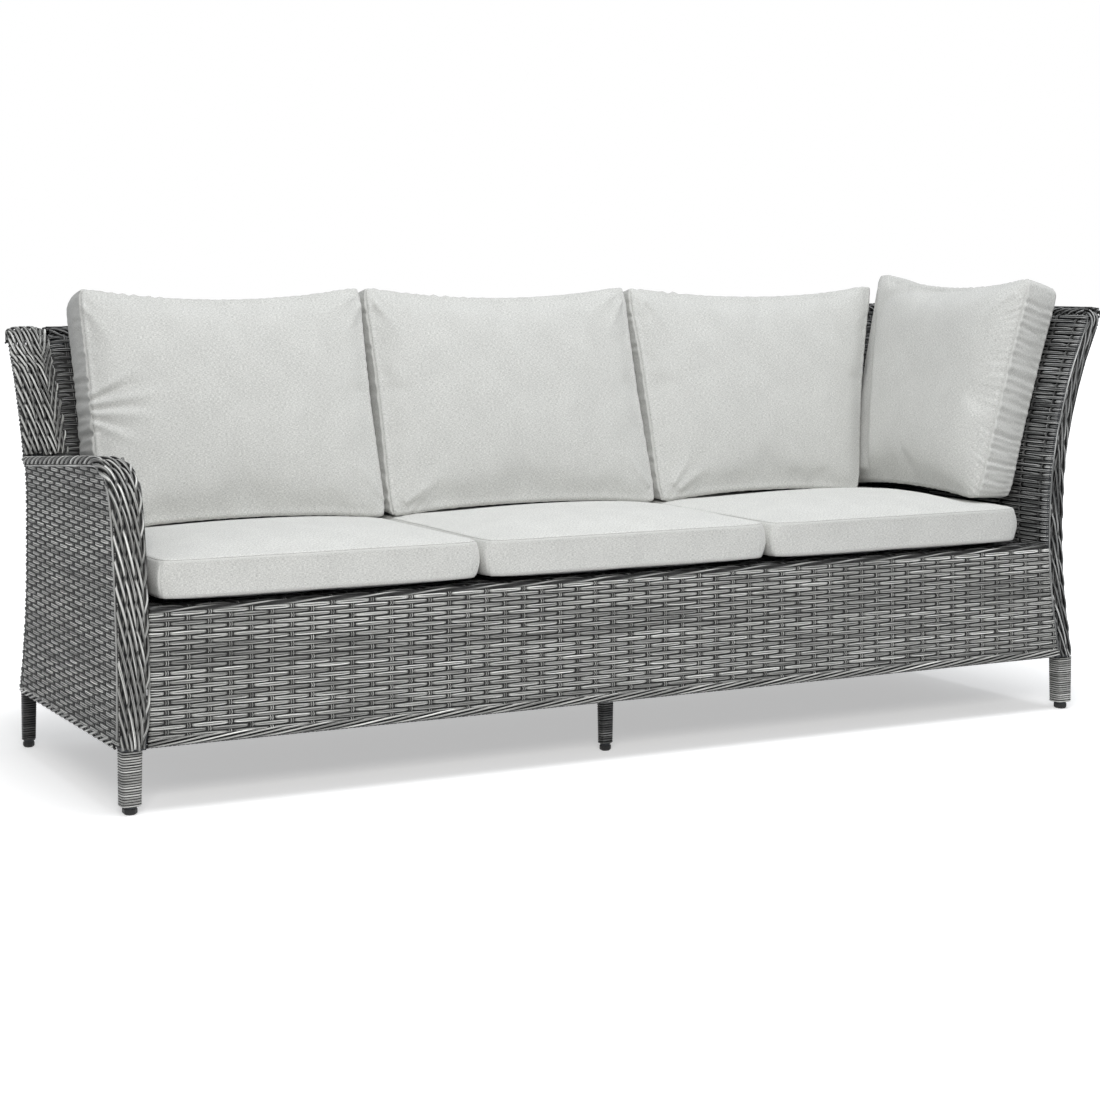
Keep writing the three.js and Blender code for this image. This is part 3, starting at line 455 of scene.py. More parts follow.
top, border, foot = APRON_TOP - 0.001, 0.1235, 0.1165
left, right = ARM_WIDTH - 0.004, side_x(APRON_BOTTOM)
start, end = (ARM_WIDTH, 0.001, top), (side_x(APRON_TOP), 0.001, top)
edging = straight_rope(start, end, FRONTWARD, 0.0024, 0.0022, 2, 0.230, 0.0022)
start, end = (left, -0.001, border), (right + 0.01, -0.001, border)
edging += straight_rope(start, end, FRONTWARD, 0.0060, 0.0022, 6, 0.30, 0.0022)
woven(
    "apron", "front_apron_weave", STRAND, apron_wall, 1, 26, ARM_WIDTH - 0.002, apron_end,
    0.0076, 0.010, edging=edging,
)
start, end = (left, 0.006, foot), (right, 0.006, foot)
twist = straight_rope(start, end, FRONTWARD, 0.0022, 0.005, 3, 0.024, 0.0020, step=0.003)
# the fine twist is in the strand painted darker: painted shade under the border
strand_object("apron_foot_twist", twist, SHADED_STRAND, replaces=["front_edge_trim"])

# The arm: a tight diagonal weave on its outer side, a plain one inside, and a flat plaited band that
# comes up from the front leg, bends over the rounded corner and runs back to the wing.
ARM_TOP, ARM_CORNER, ARM_DROP = 0.603, 0.150, 0.098
BELLY, BELLY_OUT, SETBACK = 0.190, 0.010, 0.060
BAND_FOOT = 0.1125
CORNER_FOOT = ARM_TOP - ARM_DROP
LEFTWARD = (-1.0, 0.0, 0.0)


def arm_front(z):
    return -BELLY_OUT + SETBACK * ((z - BELLY) / (ARM_TOP - BELLY)) ** 2


def arm_outline():
    """The arm's edge in y and z from the foot of its front to the back, about a millimetre apart."""
    z = np.linspace(BAND_FOOT, CORNER_FOOT, 380)
    steep = 2 * SETBACK * (CORNER_FOOT - BELLY) / (ARM_TOP - BELLY) ** 2
    a, c = np.array([arm_front(CORNER_FOOT), CORNER_FOOT]), np.array([ARM_CORNER, ARM_TOP])
    b = np.array([a[0] + steep * ARM_DROP, ARM_TOP])
    t = np.linspace(0, 1, 160)[1:, None]
    bend = a * (1 - t) ** 2 + 2 * b * t * (1 - t) + c * t**2
    t = np.linspace(0, 1, 480)[1:, None]
    return np.concatenate([xyz(arm_front(z), z), bend, c + (np.array([back_y(SHOULDER), SHOULDER]) - c) * t])


ARM_LINE = arm_outline()
ARM_RUN = run_along(ARM_LINE)


def on_arm(s, depth=0.0):
    """A place that deep inside the arm's edge, at a distance along it, and the outward direction there."""
    reach = 0.004
    y, z = follow(ARM_LINE, s)
    dy, dz = np.subtract(follow(ARM_LINE, s + reach), follow(ARM_LINE, s - reach))
    size = np.maximum(np.hypot(dy, dz), 1e-9)
    out_y, out_z = -dz / size, dy / size
    return y - out_y * depth, z - out_z * depth, out_y, out_z


def arm_top_at(y, depth):
    """Height of the arm's edge over a place y, drawn in by a depth."""
    line_y, line_z = on_arm(ARM_RUN, depth)[:2]
    past = ARM_RUN > 0.40
    return np.interp(y, line_y[past], line_z[past])


def over_the_leg(z):
    """From 0 well above a front leg to 1 at its top, where the band down to it is narrower."""
    return np.clip((0.185 - z) / 0.07, 0, 1) ** 1.5


def band_place(s, w):
    """The arm's band, narrowed over the leg and rounded over the tube's edges."""
    y, z = on_arm(s, 0.002 + 0.007 * np.abs(2 * w - 1) ** 4)[:2]
    narrow = over_the_leg(follow(ARM_LINE, s)[1]) * (s < 0.2)
    left, right = -0.001 + 0.007 * narrow, ARM_WIDTH + 0.001 - 0.011 * narrow
    return xyz(left + (right - left) * np.clip(w, 0, 1), y, z)


plaited("arm_band_strands", "arm_braid", STRAND, band_place, -1, ARM_RUN[-1] - 0.002, 0.058)

ARM_REACH = np.linspace(0, 0.7, 1401)
ARM_UNDER_BAND = arm_top_at(ARM_REACH, 0.009)


def arm_side_height(v):
    return APRON_BOTTOM + 0.003 + (ARM_TOP - 0.012 - APRON_BOTTOM) * v


def arm_side_wall(u, v):
    return xyz(0.0012, u, arm_side_height(v))


def arm_side_start(v):
    z = arm_side_height(v)
    rounded = ARM_REACH[np.argmax(ARM_UNDER_BAND[:, None] > z.reshape(-1), axis=0)].reshape(z.shape)
    front = arm_front(np.minimum(z, CORNER_FOOT)) + 0.006
    return np.where(z < CORNER_FOOT, front, np.maximum(rounded, front))


def arm_side_end(v):
    z = arm_side_height(v)
    falling = ARM_REACH[len(ARM_REACH) - 1 - np.argmax(ARM_UNDER_BAND[::-1, None] > z.reshape(-1), axis=0)]
    return np.where(z > SHOULDER - 0.015, np.minimum(falling.reshape(z.shape), back_y(z)), back_y(z))


edging = []
for depth in (0.0085, 0.0130):
    path = xyz(-0.0008, *on_arm(np.linspace(0.02, ARM_RUN[-1] - 0.01, 150), depth)[:2])[None]
    wide = np.full(path.shape[:2], 0.0024)
    edging.append((path, LEFTWARD + 0 * path, wide, 0 * wide + 0.0020, 0 * wide + 1.0))
# a low shade paints the arm's stakes dark, as painted shade between the rows
woven(
    "arm_side", "arm_outer_weave", STRAND, arm_side_wall, -1, 56, arm_side_start, arm_side_end,
    0.0047, 0.015, 0.0313, dive=0.0088, over=0.0031, shade=0.22, edging=edging,
)

# the twisted rope along the top edge of the arm, from the rounded corner back to the wing
s = np.linspace(0.46, ARM_RUN[-1] - 0.002, 200)
sink = 0.006 * (1 - np.clip((s - 0.46) / 0.06, 0, 1))
y, z, out_y, out_z = on_arm(s, 0.0035 + sink)
arm_rope = rope(xyz(sink - 0.0015, y, z), unit(xyz(-1.0, out_y, out_z)), 0.0054, 0.0046, 3, 0.087, 0.0037)
strand_object("arm_top_rope", arm_rope, STRAND)


def arm_inner_wall(u, v):
    """The arm's inner face: u is the distance back, v goes from the seat to the arm's edge."""
    return xyz(ARM_WIDTH, u, DECK + (arm_top_at(u, 0.008) - DECK) * v)


# the arm's inner weave is in the strand painted darker: painted shade
woven(
    "arm_inner", "arm_inner_weave", SHADED_STRAND, arm_inner_wall, 1, 26, 0.046,
    lambda v: back_y(DECK + 0.22 * v) - 0.002,
)


def foot_twist(name, solid, start, end, outward):
    """The twisted rope along the foot of a wall, in place of its solid edge."""
    twist = straight_rope(start, end, outward, 0.0055, 0.0026, 4, 0.12, 0.0026)
    strand_object(name, twist, STRAND, replaces=[solid])


front, rear, z = arm_front(APRON_BOTTOM) + 0.03, back_y(APRON_BOTTOM), 0.1205
foot_twist("arm_foot_twist", "left_edge_trim", (0.001, front, z), (0.001, rear, z), LEFTWARD)

# The back and the right side: paired rows inside, the same weave outside, a plaited band up each front
# end and a plaited roll over the top. The rows inside, the side's band and the rolls are in the strand
# painted darker: painted shade.
ROWS_TOP = 0.837  # inside, the rows go on over the roll's face
# how far the roll stands out at each height, over the inner face and over the outer one
ROLL_FACE = ((0.800, 0.812, 0.828, 0.843), (0.0, -0.0028, -0.0032, 0.0009))
ROLL_BACK_FACE = ((0.800, 0.808, 0.8167, 0.8295, 0.844, 0.851), (0.0, 0.0, 0.0078, 0.013, 0.005, -0.010))


def round_corner(u, radius):
    """How far across and along a wall is that starts with a quarter round: u runs round it, then on."""
    arc = radius * np.pi / 2
    angle = np.clip(u / radius, 0, np.pi / 2)
    across = np.where(u < arc, radius * np.sin(angle), radius)
    return across, np.where(u < arc, radius - radius * np.cos(angle), radius + u - arc)


def height_at(v, low=APRON_BOTTOM, high=SKIN_TOP):
    return low + (high - low) * v


def back_inner_wall(u, v):
    z = height_at(v, DECK, settled(u, ROWS_TOP))
    bulge = np.interp(z + SKIN_TOP - settled(u, SKIN_TOP), *ROLL_FACE)
    return xyz(u, back_y(z, 0.0005 + bulge), z)


def back_outer_wall(u, v):
    """u runs round the quarter-round end beside the arm, then along the rear."""
    depth, x = round_corner(u, WALL)
    z = height_at(v, APRON_BOTTOM, settled(x, SKIN_TOP))
    return xyz(x, back_y(z, depth), z)


def side_inner_wall(u, v):
    """u runs round the front corner, then back along the side's inner face."""
    across, y = round_corner(u, SIDE_CORNER)
    z = height_at(v, DECK, ROWS_TOP)
    return xyz(side_x(z, SIDE_CORNER - across + np.interp(z, *ROLL_FACE)), y, z)


def side_outer_wall(u, v):
    z = height_at(v)
    return xyz(side_x(z, WALL), u, z)


woven(
    "back_inner", "back_inner_weave", SHADED_STRAND, back_inner_wall, 1, 57, 0.074,
    lambda v: side_x(height_at(v, DECK)) + 0.004, 0.0102, 0.075, 0.036, 0.009, tuck=0.003, sides=4,
)
woven(
    "back_outer", "back_outer_weave", STRAND, back_outer_wall, -1, 76, 0.002,
    lambda v: side_x(height_at(v), WALL) - WALL + WALL * np.pi / 2 - 0.003,
    0.0147, 0.0, 0.044, 0.013, sides=4,
)
woven(
    "side_inner", "side_inner_weave", SHADED_STRAND, side_inner_wall, -1, 57, 0.001,
    lambda v: back_y(height_at(v, DECK, ROWS_TOP)) + 0.010, 0.0066, 0.030, 0.064, 0.0080, hide=True,
)
woven(
    "side_outer", "side_outer_weave", STRAND, side_outer_wall, 1, 76, 0.002,
    lambda v: back_y(height_at(v), WALL) - 0.003, 0.0095, tuck=0.002,
)

ROLL_OUT = 0.013
# The rolls: each point is a share of the wall's thickness, of the roll's height, and of the overhang.
ROLL = np.array([
    [0, -0.2, -0.2], [0, 0.42, -0.25], [0.02, 0.8, 0], [0.22, 1, 0], [0.72, 1, 0], [1, 0.82, 0.4],
    [1, 0.45, 1], [1, 0.12, 0.6], [1, -0.1, 0],
])


def roll_outline():
    line = xyz(ROLL[:, 0] * WALL + ROLL[:, 2] * ROLL_OUT, SKIN_TOP + (TOP - SKIN_TOP) * ROLL[:, 1])
    for _ in range(3):
        near, far = line[:-1] * 0.75 + line[1:] * 0.25, line[:-1] * 0.25 + line[1:] * 0.75
        line = np.concatenate([line[:1], np.stack([near, far], axis=1).reshape(-1, 2), line[-1:]])
    return line


ROLL_LINE = roll_outline()
ROLL_RUN = run_along(ROLL_LINE)
RISING = ROLL_LINE[:, 1].argmax() + 1
ROLL_FOOT = np.interp(ROWS_TOP - 0.002, ROLL_LINE[:RISING, 1], ROLL_RUN[:RISING])
ROLL_WIDTH = ROLL_RUN[-1] - ROLL_FOOT


def on_roll(w):
    return follow(ROLL_LINE, ROLL_FOOT + np.clip(w, 0, 1) * ROLL_WIDTH)


BEND_START = 0.815  # the height at which the bands up the ends begin to bend over the roll
WING_FOOT, WING_WIDTH = 0.574, 0.076
WING_LINE = np.concatenate([[[0.0, WING_FOOT], [0.0, 0.79]], ROLL_LINE[ROLL_LINE[:, 1] > 0.80]])


def wing_place(s, w):
    """Up the left end of the back and over its top."""
    depth, z = follow(WING_LINE, s)
    drop = 0.006 * np.abs(2 * w - 1) ** 4 - 0.002
    over = np.clip((z - BEND_START) / 0.03, 0, 1)
    depth, z = depth + drop * (1 - over), z - drop * over
    x = -0.001 + np.interp(z, (WING_FOOT, 0.80), (0.088, 0.079)) * np.clip(w, 0, 1)
    narrow = np.sqrt(np.clip(1 - (1 - np.minimum(x / WALL, 1)) ** 2, 0, 1)) * 0.7 + 0.3
    height = settled(x, z)
    return xyz(x, back_y(height, depth * np.where(z > 0.80, narrow, 1)), height)


plaited("wing_band_strands", "wing_braid", STRAND, wing_place, -1, run_along(WING_LINE)[-1] - 0.018, 0.083)
z = settled(0.0, np.linspace(SHOULDER, 0.838, 60))
edge = rope(xyz(-0.0005, back_y(z, 0.004), z), LEFTWARD, 0.0032, 0.0022, 2, 0.018, 0.0023)
# the twist up the wing's edge is in the strand painted darker: painted shade
strand_object("wing_edge_twist", edge, SHADED_STRAND)


def side_band_place(s, w):
    """Up the front end of the side, past its rounded corner, and over the roll's end."""
    z = BAND_FOOT + s
    over = np.clip((z - BEND_START) / 0.05, 0, 1)
    bend = over * np.pi / 2
    height = np.minimum(z, BEND_START) + 0.0335 * np.sin(bend)
    left = side_x(height) + SIDE_CORNER * 0.8 * (1 - over) + 0.006 * over
    drawn_in = 0.010 * np.clip((height - 0.45) / 0.2, 0, 1)
    right = side_x(height, WALL - drawn_in + 0.35 * np.interp(height, *ROLL_BACK_FACE))
    x = left + (right - 0.004 * over_the_leg(z) - left) * np.clip(w, 0, 1)
    sunk = 0.001 + 0.005 * np.abs(2 * w - 1) ** 4
    return xyz(x, -0.006 + 0.03 * (1 - np.cos(bend)) + np.cos(bend) * sunk, height - np.sin(bend) * sunk)


edging = []
for w, out, sideways in ((0.90, 0.0012, 1.0), (1.0, 0.0004, 1.0), (0.02, 0.0008, -1.0)):
    outward = np.array([sideways, -1.0, 0]) / math.sqrt(2)
    path = side_band_place(np.linspace(0.004, 0.745, 150), w)[None] + outward * out
    wide = np.full(path.shape[:2], 0.0026)
    # a bare of 0.7 paints a little shade on the edging strands
    edging.append((path, outward + 0 * path, wide, wide * 0.8, 0 * wide + 0.7))
# the side's band is in the strand painted darker: painted shade
plaited(
    "side_band_strands", "side_front_braid", SHADED_STRAND, side_band_place, -1, 0.752, 0.034, 0.19, 0.0028,
    turned=1.3, rim=-0.04, edging=edging,
)

BACK_ROLL_LENGTH, SIDE_ROLL_LENGTH = 2.10, 0.72


def back_roll_place(s, w):
    depth, z = on_roll(w)
    x = WING_WIDTH + s / BACK_ROLL_LENGTH * (side_x(z, depth) - WING_WIDTH - 0.001)
    z = settled(x, z)
    return xyz(x, back_y(z, depth), z)


def side_roll_place(s, w):
    depth, z = on_roll(w)
    y = 0.006 + s / SIDE_ROLL_LENGTH * (back_y(z, depth) - 0.007)
    depth = np.minimum(depth, WALL + ROLL_OUT * np.clip(0.3 + y / 0.12, 0, 1))
    return xyz(side_x(z, depth), y, z)


# both rolls are in the strand painted darker: painted shade
plaited(
    "back_roll_strands", "back_top_braid", SHADED_STRAND, back_roll_place, 1, BACK_ROLL_LENGTH, ROLL_WIDTH,
    0.26, step=0.009,
)
plaited(
    "side_roll_strands", "side_top_braid", SHADED_STRAND, side_roll_place, -1, SIDE_ROLL_LENGTH, ROLL_WIDTH,
    0.26,
)

right, rear, z = side_x(APRON_BOTTOM, WALL), back_y(APRON_BOTTOM, WALL), 0.1175
x, y = right - 0.003, rear - 0.003
foot_twist("back_foot_twist", "rear_edge_trim", (0.02, y, z), (right, y, z), (0, 1.0, 0))
foot_twist("side_foot_twist", "right_edge_trim", (x, 0.01, z), (x, rear, z), (1.0, 0, 0))

# The deck under the cushions: the same rows as inside the back, in the strand painted darker as painted
# shade, woven flat over the seat bearers from rail to rail. It only shows in the narrow gaps between the
# cushions.
woven(
    "seat_deck", "seat_deck", SHADED_STRAND,
    lambda u, v: xyz(u, 0.008 + (BACK_FACE - 0.012) * v, DECK - 0.0005), 1, 26, ARM_WIDTH + 0.002,
    SIDE_INNER - 0.002, 0.0147, 0.0, 0.044, 0.013, sides=4, slot="dark_strand",
)

# The legs: tapered tubes wound with one flat strand each, and black nylon feet pressed into their ends.
# The front ones are in view, and wound stouter and in the plain strand; the others are in the strand
# painted darker, with more painted shade on it as well.
WRAP_TURNS = 21
WRAP_DEPTH = 0.0018
for name in ("front_left", "front_right", "rear_left", "rear_right", "centre"):
    front = name.startswith("front")
    roundness, stout, foot_size, shade = (0.30, 0.0022, 0.93, 1.0) if front else (0.45, -0.0012, 0.88, 0.3)
    low, high = (np.array(corner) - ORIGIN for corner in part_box("wrap_" + name))
    middle, half = (low + high) / 2, (high - low) / 2 + stout
    bottom, top = low[2] + 0.002, high[2] - 0.002
    t = np.linspace(0, 1, WRAP_TURNS * 28 + 1)
    taper = foot_size + (1 - foot_size) * t
    power = 2 / (2 + 3 * (1 - roundness))
    c, s = np.cos(2 * np.pi * WRAP_TURNS * t), np.sin(2 * np.pi * WRAP_TURNS * t)
    x = middle[0] + half[0] * taper * np.sign(c) * np.abs(c) ** power
    y = middle[1] + half[1] * taper * np.sign(s) * np.abs(s) ** power
    wide = np.full((1, len(t)), (top - bottom) / WRAP_TURNS * 0.47)
    path, outward = xyz(x, y, bottom + (top - bottom) * t)[None], unit(xyz(c, s, 0.0))[None]
    winding = (path, outward, wide, 0 * wide + WRAP_DEPTH, 0 * wide + shade)
    material = STRAND if front else SHADED_STRAND
    strand_object("wrap_strand_" + name, [winding], material, replaces=["wrap_" + name])

NYLON = grained_material("black_nylon", 1500, 2, (0.010, 0.010, 0.011, 1), [0.4, 0.6], 0.0001)
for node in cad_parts:
    if node.startswith("glide_"):
        finish_solid(node, NYLON)

# The cushions: seven loose foam pads in covers of pale linen-look cloth. Each cover is a front and a back
# panel sewn to a gusset that runs all round. The foam swells it, the seams draw it in, and it puckers there.
GUSSET_ROWS = 8
CLOTH_SEED = 21
folds_chance = np.random.default_rng(CLOTH_SEED)


def cloth_material(name, painted_light_factor):
    """Melange cloth: two sets of mixed light and dark threads, lighter or darker all over by a factor
    that paints in light and shade.
    """
    material, tree, shader = new_material(name)
    place = add(tree, "Attribute", attribute_name="cloth").outputs["Vector"]
    warp, weft, cloud = (
        noise(tree, place, 1.0, 3, 0.6, stretch) for stretch in ((1000, 210, 1), (210, 1000, 1), (14, 14, 1))
    )
    threads = add(tree, "Mix", {"Factor": 0.6, "A": warp, "B": weft}, data_type="RGBA").outputs["Result"]
    mixed = []
    for stop, value in ((0.40, 0.42), (0.5, 0.565), (0.60, 0.72)):
        mixed.append((stop, (painted_light_factor * value, painted_light_factor * value * 1.004, painted_light_factor * value * 0.968, 1)))
    tone = ramp(tree, cloud, (0.3, 0.95), (0.7, 1.03))
    fill_in(shader, {
        "Base Color": multiply(tree, ramp(tree, threads, *mixed), tone), "Roughness": 0.92,
        "Specular IOR Level": 0.2, "Sheen Weight": 0.25, "Sheen Roughness": 0.5,
        "Normal": bump(tree, threads, 0.0004, 0.6),
    })
    return material


# painted light and shade: the seats' cloth is painted paler and the others' darker, for the light on them
CLOTH = cloth_material("pale_melange_cloth", 0.96)
SEAT_CLOTH = cloth_material("sunned_melange_cloth", 1.09)
THREAD = grained_material("seam_thread", 700, 2, [(0.42, 0.42, 0.40, 1), (0.66, 0.66, 0.64, 1)], 0.85, 0.0003)


def read_points(items, what, width=3):
    """Values of a mesh's points, normals or marks as an array."""
    values = np.empty(len(items) * width, np.float32)
    items.foreach_get(what, values)
    return (values.reshape(-1, width) if width > 1 else values).astype(float)


def set_points(mesh, points):
    mesh.vertices.foreach_set("co", points.astype(np.float32).ravel())
    mesh.update()


def spread_out(count, bias=0.35):
    """Places from -1 to 1, closer together towards both ends."""
    t = np.linspace(-1, 1, count + 1)
    return t * (1 + bias) - bias * t**3


def near(distance, width):
    """A soft bump of height 1 where a distance is 0."""
    return np.exp(-((distance / width) ** 2))


class Cushion:
    """A boxed cushion in its own axes: across, up and out through the face that is sat on or leant on."""

    def __init__(self, node, axes, cells, crown, under, pull, dip, corner, shortened=1.0, power=2.6,
                 swell=0.012, slant=0.0, foot=0.0, arch=0.0, proud=0.0, flare=0.0):
        """Crown and under are how far the foam domes the face and the rear, pull and dip how far the sides
        and the top edge curve in, and corner how round a corner is. Shortened and power shape the dome.
        Slant moves the top of one side out, foot lowers the face's bottom edge to lie on the seat, arch
        lifts the middle of the bottom over the seat's dome, and flare thickens one upper corner."""
        self.node, self.axes = node, np.array(axes, float)
        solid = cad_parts[node]
        world = np.array(solid.matrix_world)
        local = (read_points(solid.data.vertices, "co") @ world[:3, :3].T + world[:3, 3]) @ self.axes.T
        low, high = local.min(axis=0), local.max(axis=0) + (0, 0, proud)
        self.middle, self.half = (low + high) / 2, (high - low) / 2
        half_u, half_v, half_w = self.half
        gusset = half_w - (crown + under) / 2
        shift = (crown - under) / 2
        nu, nv = cells
        u, v = np.meshgrid(spread_out(nu), spread_out(nv), indexing="ij")

        def plan(u, v, level=1.0):
            rounded = np.abs(u * v) ** 10 * corner
            x = u * (half_u - slant / 2 - pull * (1 - v**2)) - np.sign(u) * rounded
            x = x + slant * ((u + 1) * (v + 1) / 4 - 0.5)
            y = foot / 2 + v * (half_v - foot / 2 - dip * (1 - u**2) * (v > 0)) - np.sign(v) * rounded
            return x, y + np.minimum(v, 0) ** 2 * (arch * (1 - u**2) - foot * (level + 1) / 2)

        def thicker(u, v):
            return flare * np.clip((v + 0.6) / 1.4, 0, 1) * np.clip((1 - u) / 2, 0, 1) ** 2

        def dome(t):
            return 1 - np.abs(t) ** power

        x, y = plan(u, v)
        short = np.minimum(2 * (v + 1) / (shortened + 1) - 1, 1)
        face = xyz(x, y, gusset - shift + np.maximum(crown * dome(u) * dome(short), thicker(u, v)))
        rear = xyz(*plan(u, v, -1.0), -gusset - shift - under * np.minimum(2 * dome(u) * dome(v), 1))
        index = np.arange(u.size).reshape(u.shape)
        ring = np.concatenate([index[:-1, 0], index[-1, :-1], index[:0:-1, -1], index[0, :0:-1]])
        quads = np.stack([index[:-1, :-1], index[1:, :-1], index[1:, 1:], index[:-1, 1:]], axis=-1)
        quads = quads.reshape(-1, 4)
        faces, points, loops = [quads, quads[:, ::-1] + u.size], [face, rear], [ring + u.size]
        ring_u, ring_v, ring_x, ring_y = (values.ravel()[ring] for values in (u, v, x, y))
        run = np.cumsum(np.hypot(np.diff(ring_x, append=ring_x[0]), np.diff(ring_y, append=ring_y[0])))
        self.girth = run[-1]
        levels = spread_out(GUSSET_ROWS)[1:-1]
        for k, level in enumerate(levels):
            swollen = 1 + swell * (1 - level**2)
            level_x, level_y = plan(ring_u, ring_v, level)
            out = level * gusset - shift + thicker(ring_u, ring_v) * (level + 1) / 2
            points.append(xyz(level_x * swollen, level_y * np.where(ring_v > -0.98, swollen, 1), out))
            loops.append((2 * u.size) + k * len(ring) + np.arange(len(ring)))
        loops.append(ring)
        for lower, upper in zip(loops[:-1], loops[1:]):
            faces.append(np.stack([lower, np.roll(lower, -1), np.roll(upper, -1), upper], axis=-1))
        self.start = np.concatenate([part.reshape(-1, 3) for part in points])
        mesh = bpy.data.meshes.new(node + "_cover")
        mesh.from_pydata(self.start.tolist(), [], np.concatenate(faces).tolist())

        # the cloth's own plane, how far a point lies from the nearer seam, on which panel, and where round
        # the cushion, for the threads of the cloth and for the sewing
        flat = xyz(x, y, 0.0).reshape(-1, 3)
        gusset_cloth = [xyz(run + 3, level * gusset, 0.0) for level in levels]
        wide = half_u - slant / 2 - pull * (1 - v**2) + slant * (v + 1) / 4
        edge = np.minimum((1 - np.abs(u)) * wide, (1 - np.abs(v)) * (half_v - foot / 2)).reshape(-1)
        edge[ring] = 0
        turned = np.arctan2(ring_y, ring_x) % (2 * np.pi)
        order = np.argsort(turned)
        around = np.interp(np.arctan2(y, x).reshape(-1) % (2 * np.pi), turned[order], run[order])
        between_seams = [(1 - abs(level)) * gusset + 0 * run for level in levels]
        ones = np.ones(u.size)
        mark_points(mesh, "cloth", np.concatenate([flat, flat + (5, 5, 0), *gusset_cloth]))
        mark_points(mesh, "seam", np.concatenate([edge, edge, *between_seams]))
        mark_points(mesh, "panel", np.concatenate([ones, -ones, *(0 * run for _ in levels)]))
        mark_points(mesh, "around", np.concatenate([around, around, *(run for _ in levels)]))
        self.rings = {"face": ring, "rear": ring + u.size}
        self.object = put_in(node + "_cover", mesh)

    def marks(self, name):
        return read_points(self.object.data.attributes[name].data, "value", 1)

    def prepare(self, pressure=4.0, shrink=0.015, stiffness=14, grades=11, grade_width=0.0016):
        """Cloth that the filling presses out from a slightly smaller start, shorter along its seams."""
        set_points(self.object.data, self.start * np.array([0.985, 0.985, 0.97]))
        group = self.object.vertex_groups.new(name="sewn")
        seam = self.marks("seam")
        for k in range(grades):
            chosen = np.nonzero((seam >= k * grade_width) & (seam < (k + 1) * grade_width))[0].tolist()
            group.add(chosen, 1 - k / grades, "REPLACE")
        cloth = self.object.modifiers.new("cloth", "CLOTH")
        set_all(
            cloth.settings, quality=6, mass=0.25, air_damping=4, tension_stiffness=stiffness,
            compression_stiffness=stiffness, shear_stiffness=stiffness * 0.4, bending_stiffness=0.25,
            use_pressure=True, uniform_pressure_force=pressure, vertex_group_shrink="sewn", shrink_min=0.0,
            shrink_max=shrink,
        )
        cloth.settings.effector_weights.gravity = 0
        set_all(cloth.collision_settings, use_collision=False, use_self_collision=False)

    def taken(self):
        """The cover's mesh with its modifiers worked into it."""
        seen = bpy.context.evaluated_depsgraph_get()
        mesh = bpy.data.meshes.new_from_object(self.object.evaluated_get(seen))
        self.object.modifiers.clear()
        return mesh

    def settle(self, cap, fine):
        """Keeps the shape that the filling gave, held near its start, and fits it back into its own space."""
        points = self.start
        if self.object.modifiers:
            moved = read_points(self.taken().vertices, "co") - points
            far = np.linalg.norm(moved, axis=1, keepdims=True)
            points = points + moved * np.minimum(1, cap / np.maximum(far, 1e-9))
        set_points(self.object.data, points)
        finer = self.object.modifiers.new("finer", "SUBSURF")
        finer.levels = finer.render_levels = fine
        self.object.data = self.taken()
        points = read_points(self.object.data.vertices, "co")
        low, high = points.min(axis=0), points.max(axis=0)
        set_points(self.object.data, (points - (low + high) / 2) / ((high - low) / 2) * self.half)

    def sew(self, pucker, folds=(), gathers=(), pleats=(), groove=0.0020):
        """Draws the seams in, puckers the cloth beside them and presses named folds into the face.

        A fold is (x0, y0, x1, y1, width, height): a soft ridge or, below zero, a crease. A gather is
        (where round the cushion, reach, strength), from 0 to 1 round its girth. A pleat is
        (where, from, to, depth): a crease across the gusset between two levels, -1 at the rear seam."""
        mesh = self.object.data
        points, normals = read_points(mesh.vertices, "co"), read_points(mesh.vertex_normals, "vector")
        seam, around, panel = self.marks("seam"), self.marks("around") / self.girth, self.marks("panel")
        on_gusset = 1 - np.abs(panel)

        def from_place(where):
            return (around - where + 0.5) % 1.0 - 0.5

        waves = np.zeros(len(points))
        for _ in range(16):
            count = folds_chance.integers(40, 130)
            phase, bend = folds_chance.random() * 6.28, folds_chance.normal(0, 22)
            waves += np.sin(around * 2 * np.pi * count + phase + bend * seam) / 4
        strength = np.full(len(points), 0.5)
        for where, reach, more in gathers:
            strength += more * near(from_place(where), reach)
        fade = np.exp(-seam / (0.020 + 0.020 * on_gusset)) * (1 - np.exp(-seam / 0.003))
        amount = pucker * strength * (1 + 0.9 * on_gusset) * fade * waves
        amount += groove * (0.4 * near(seam - 0.006, 0.004) - near(seam, 0.0022))
        for x0, y0, x1, y1, width, height in folds:
            start, line = np.array([x0, y0]), np.array([x1 - x0, y1 - y0])
            share = np.clip(((points[:, :2] - start) @ line) / (line @ line), 0, 1)
            apart = np.linalg.norm(points[:, :2] - start - share[:, None] * line, axis=1)
            amount += height * (1 - share) ** 0.7 * near(apart, width * (0.6 + share)) * np.clip(panel, 0, 1)
        level = points[:, 2] / self.half[2]
        for where, start, end, depth in pleats:
            gone = from_place(where + 0.006 * level) * self.girth
            along = np.clip((level - start) / 0.25, 0, 1) * np.clip((end - level) / 0.25, 0, 1)
            shape = near(gone, 0.0045) - 0.6 * near(np.abs(gone) - 0.010, 0.006)
            amount -= depth * shape * along * on_gusset
        set_points(mesh, points + normals * amount[:, None])

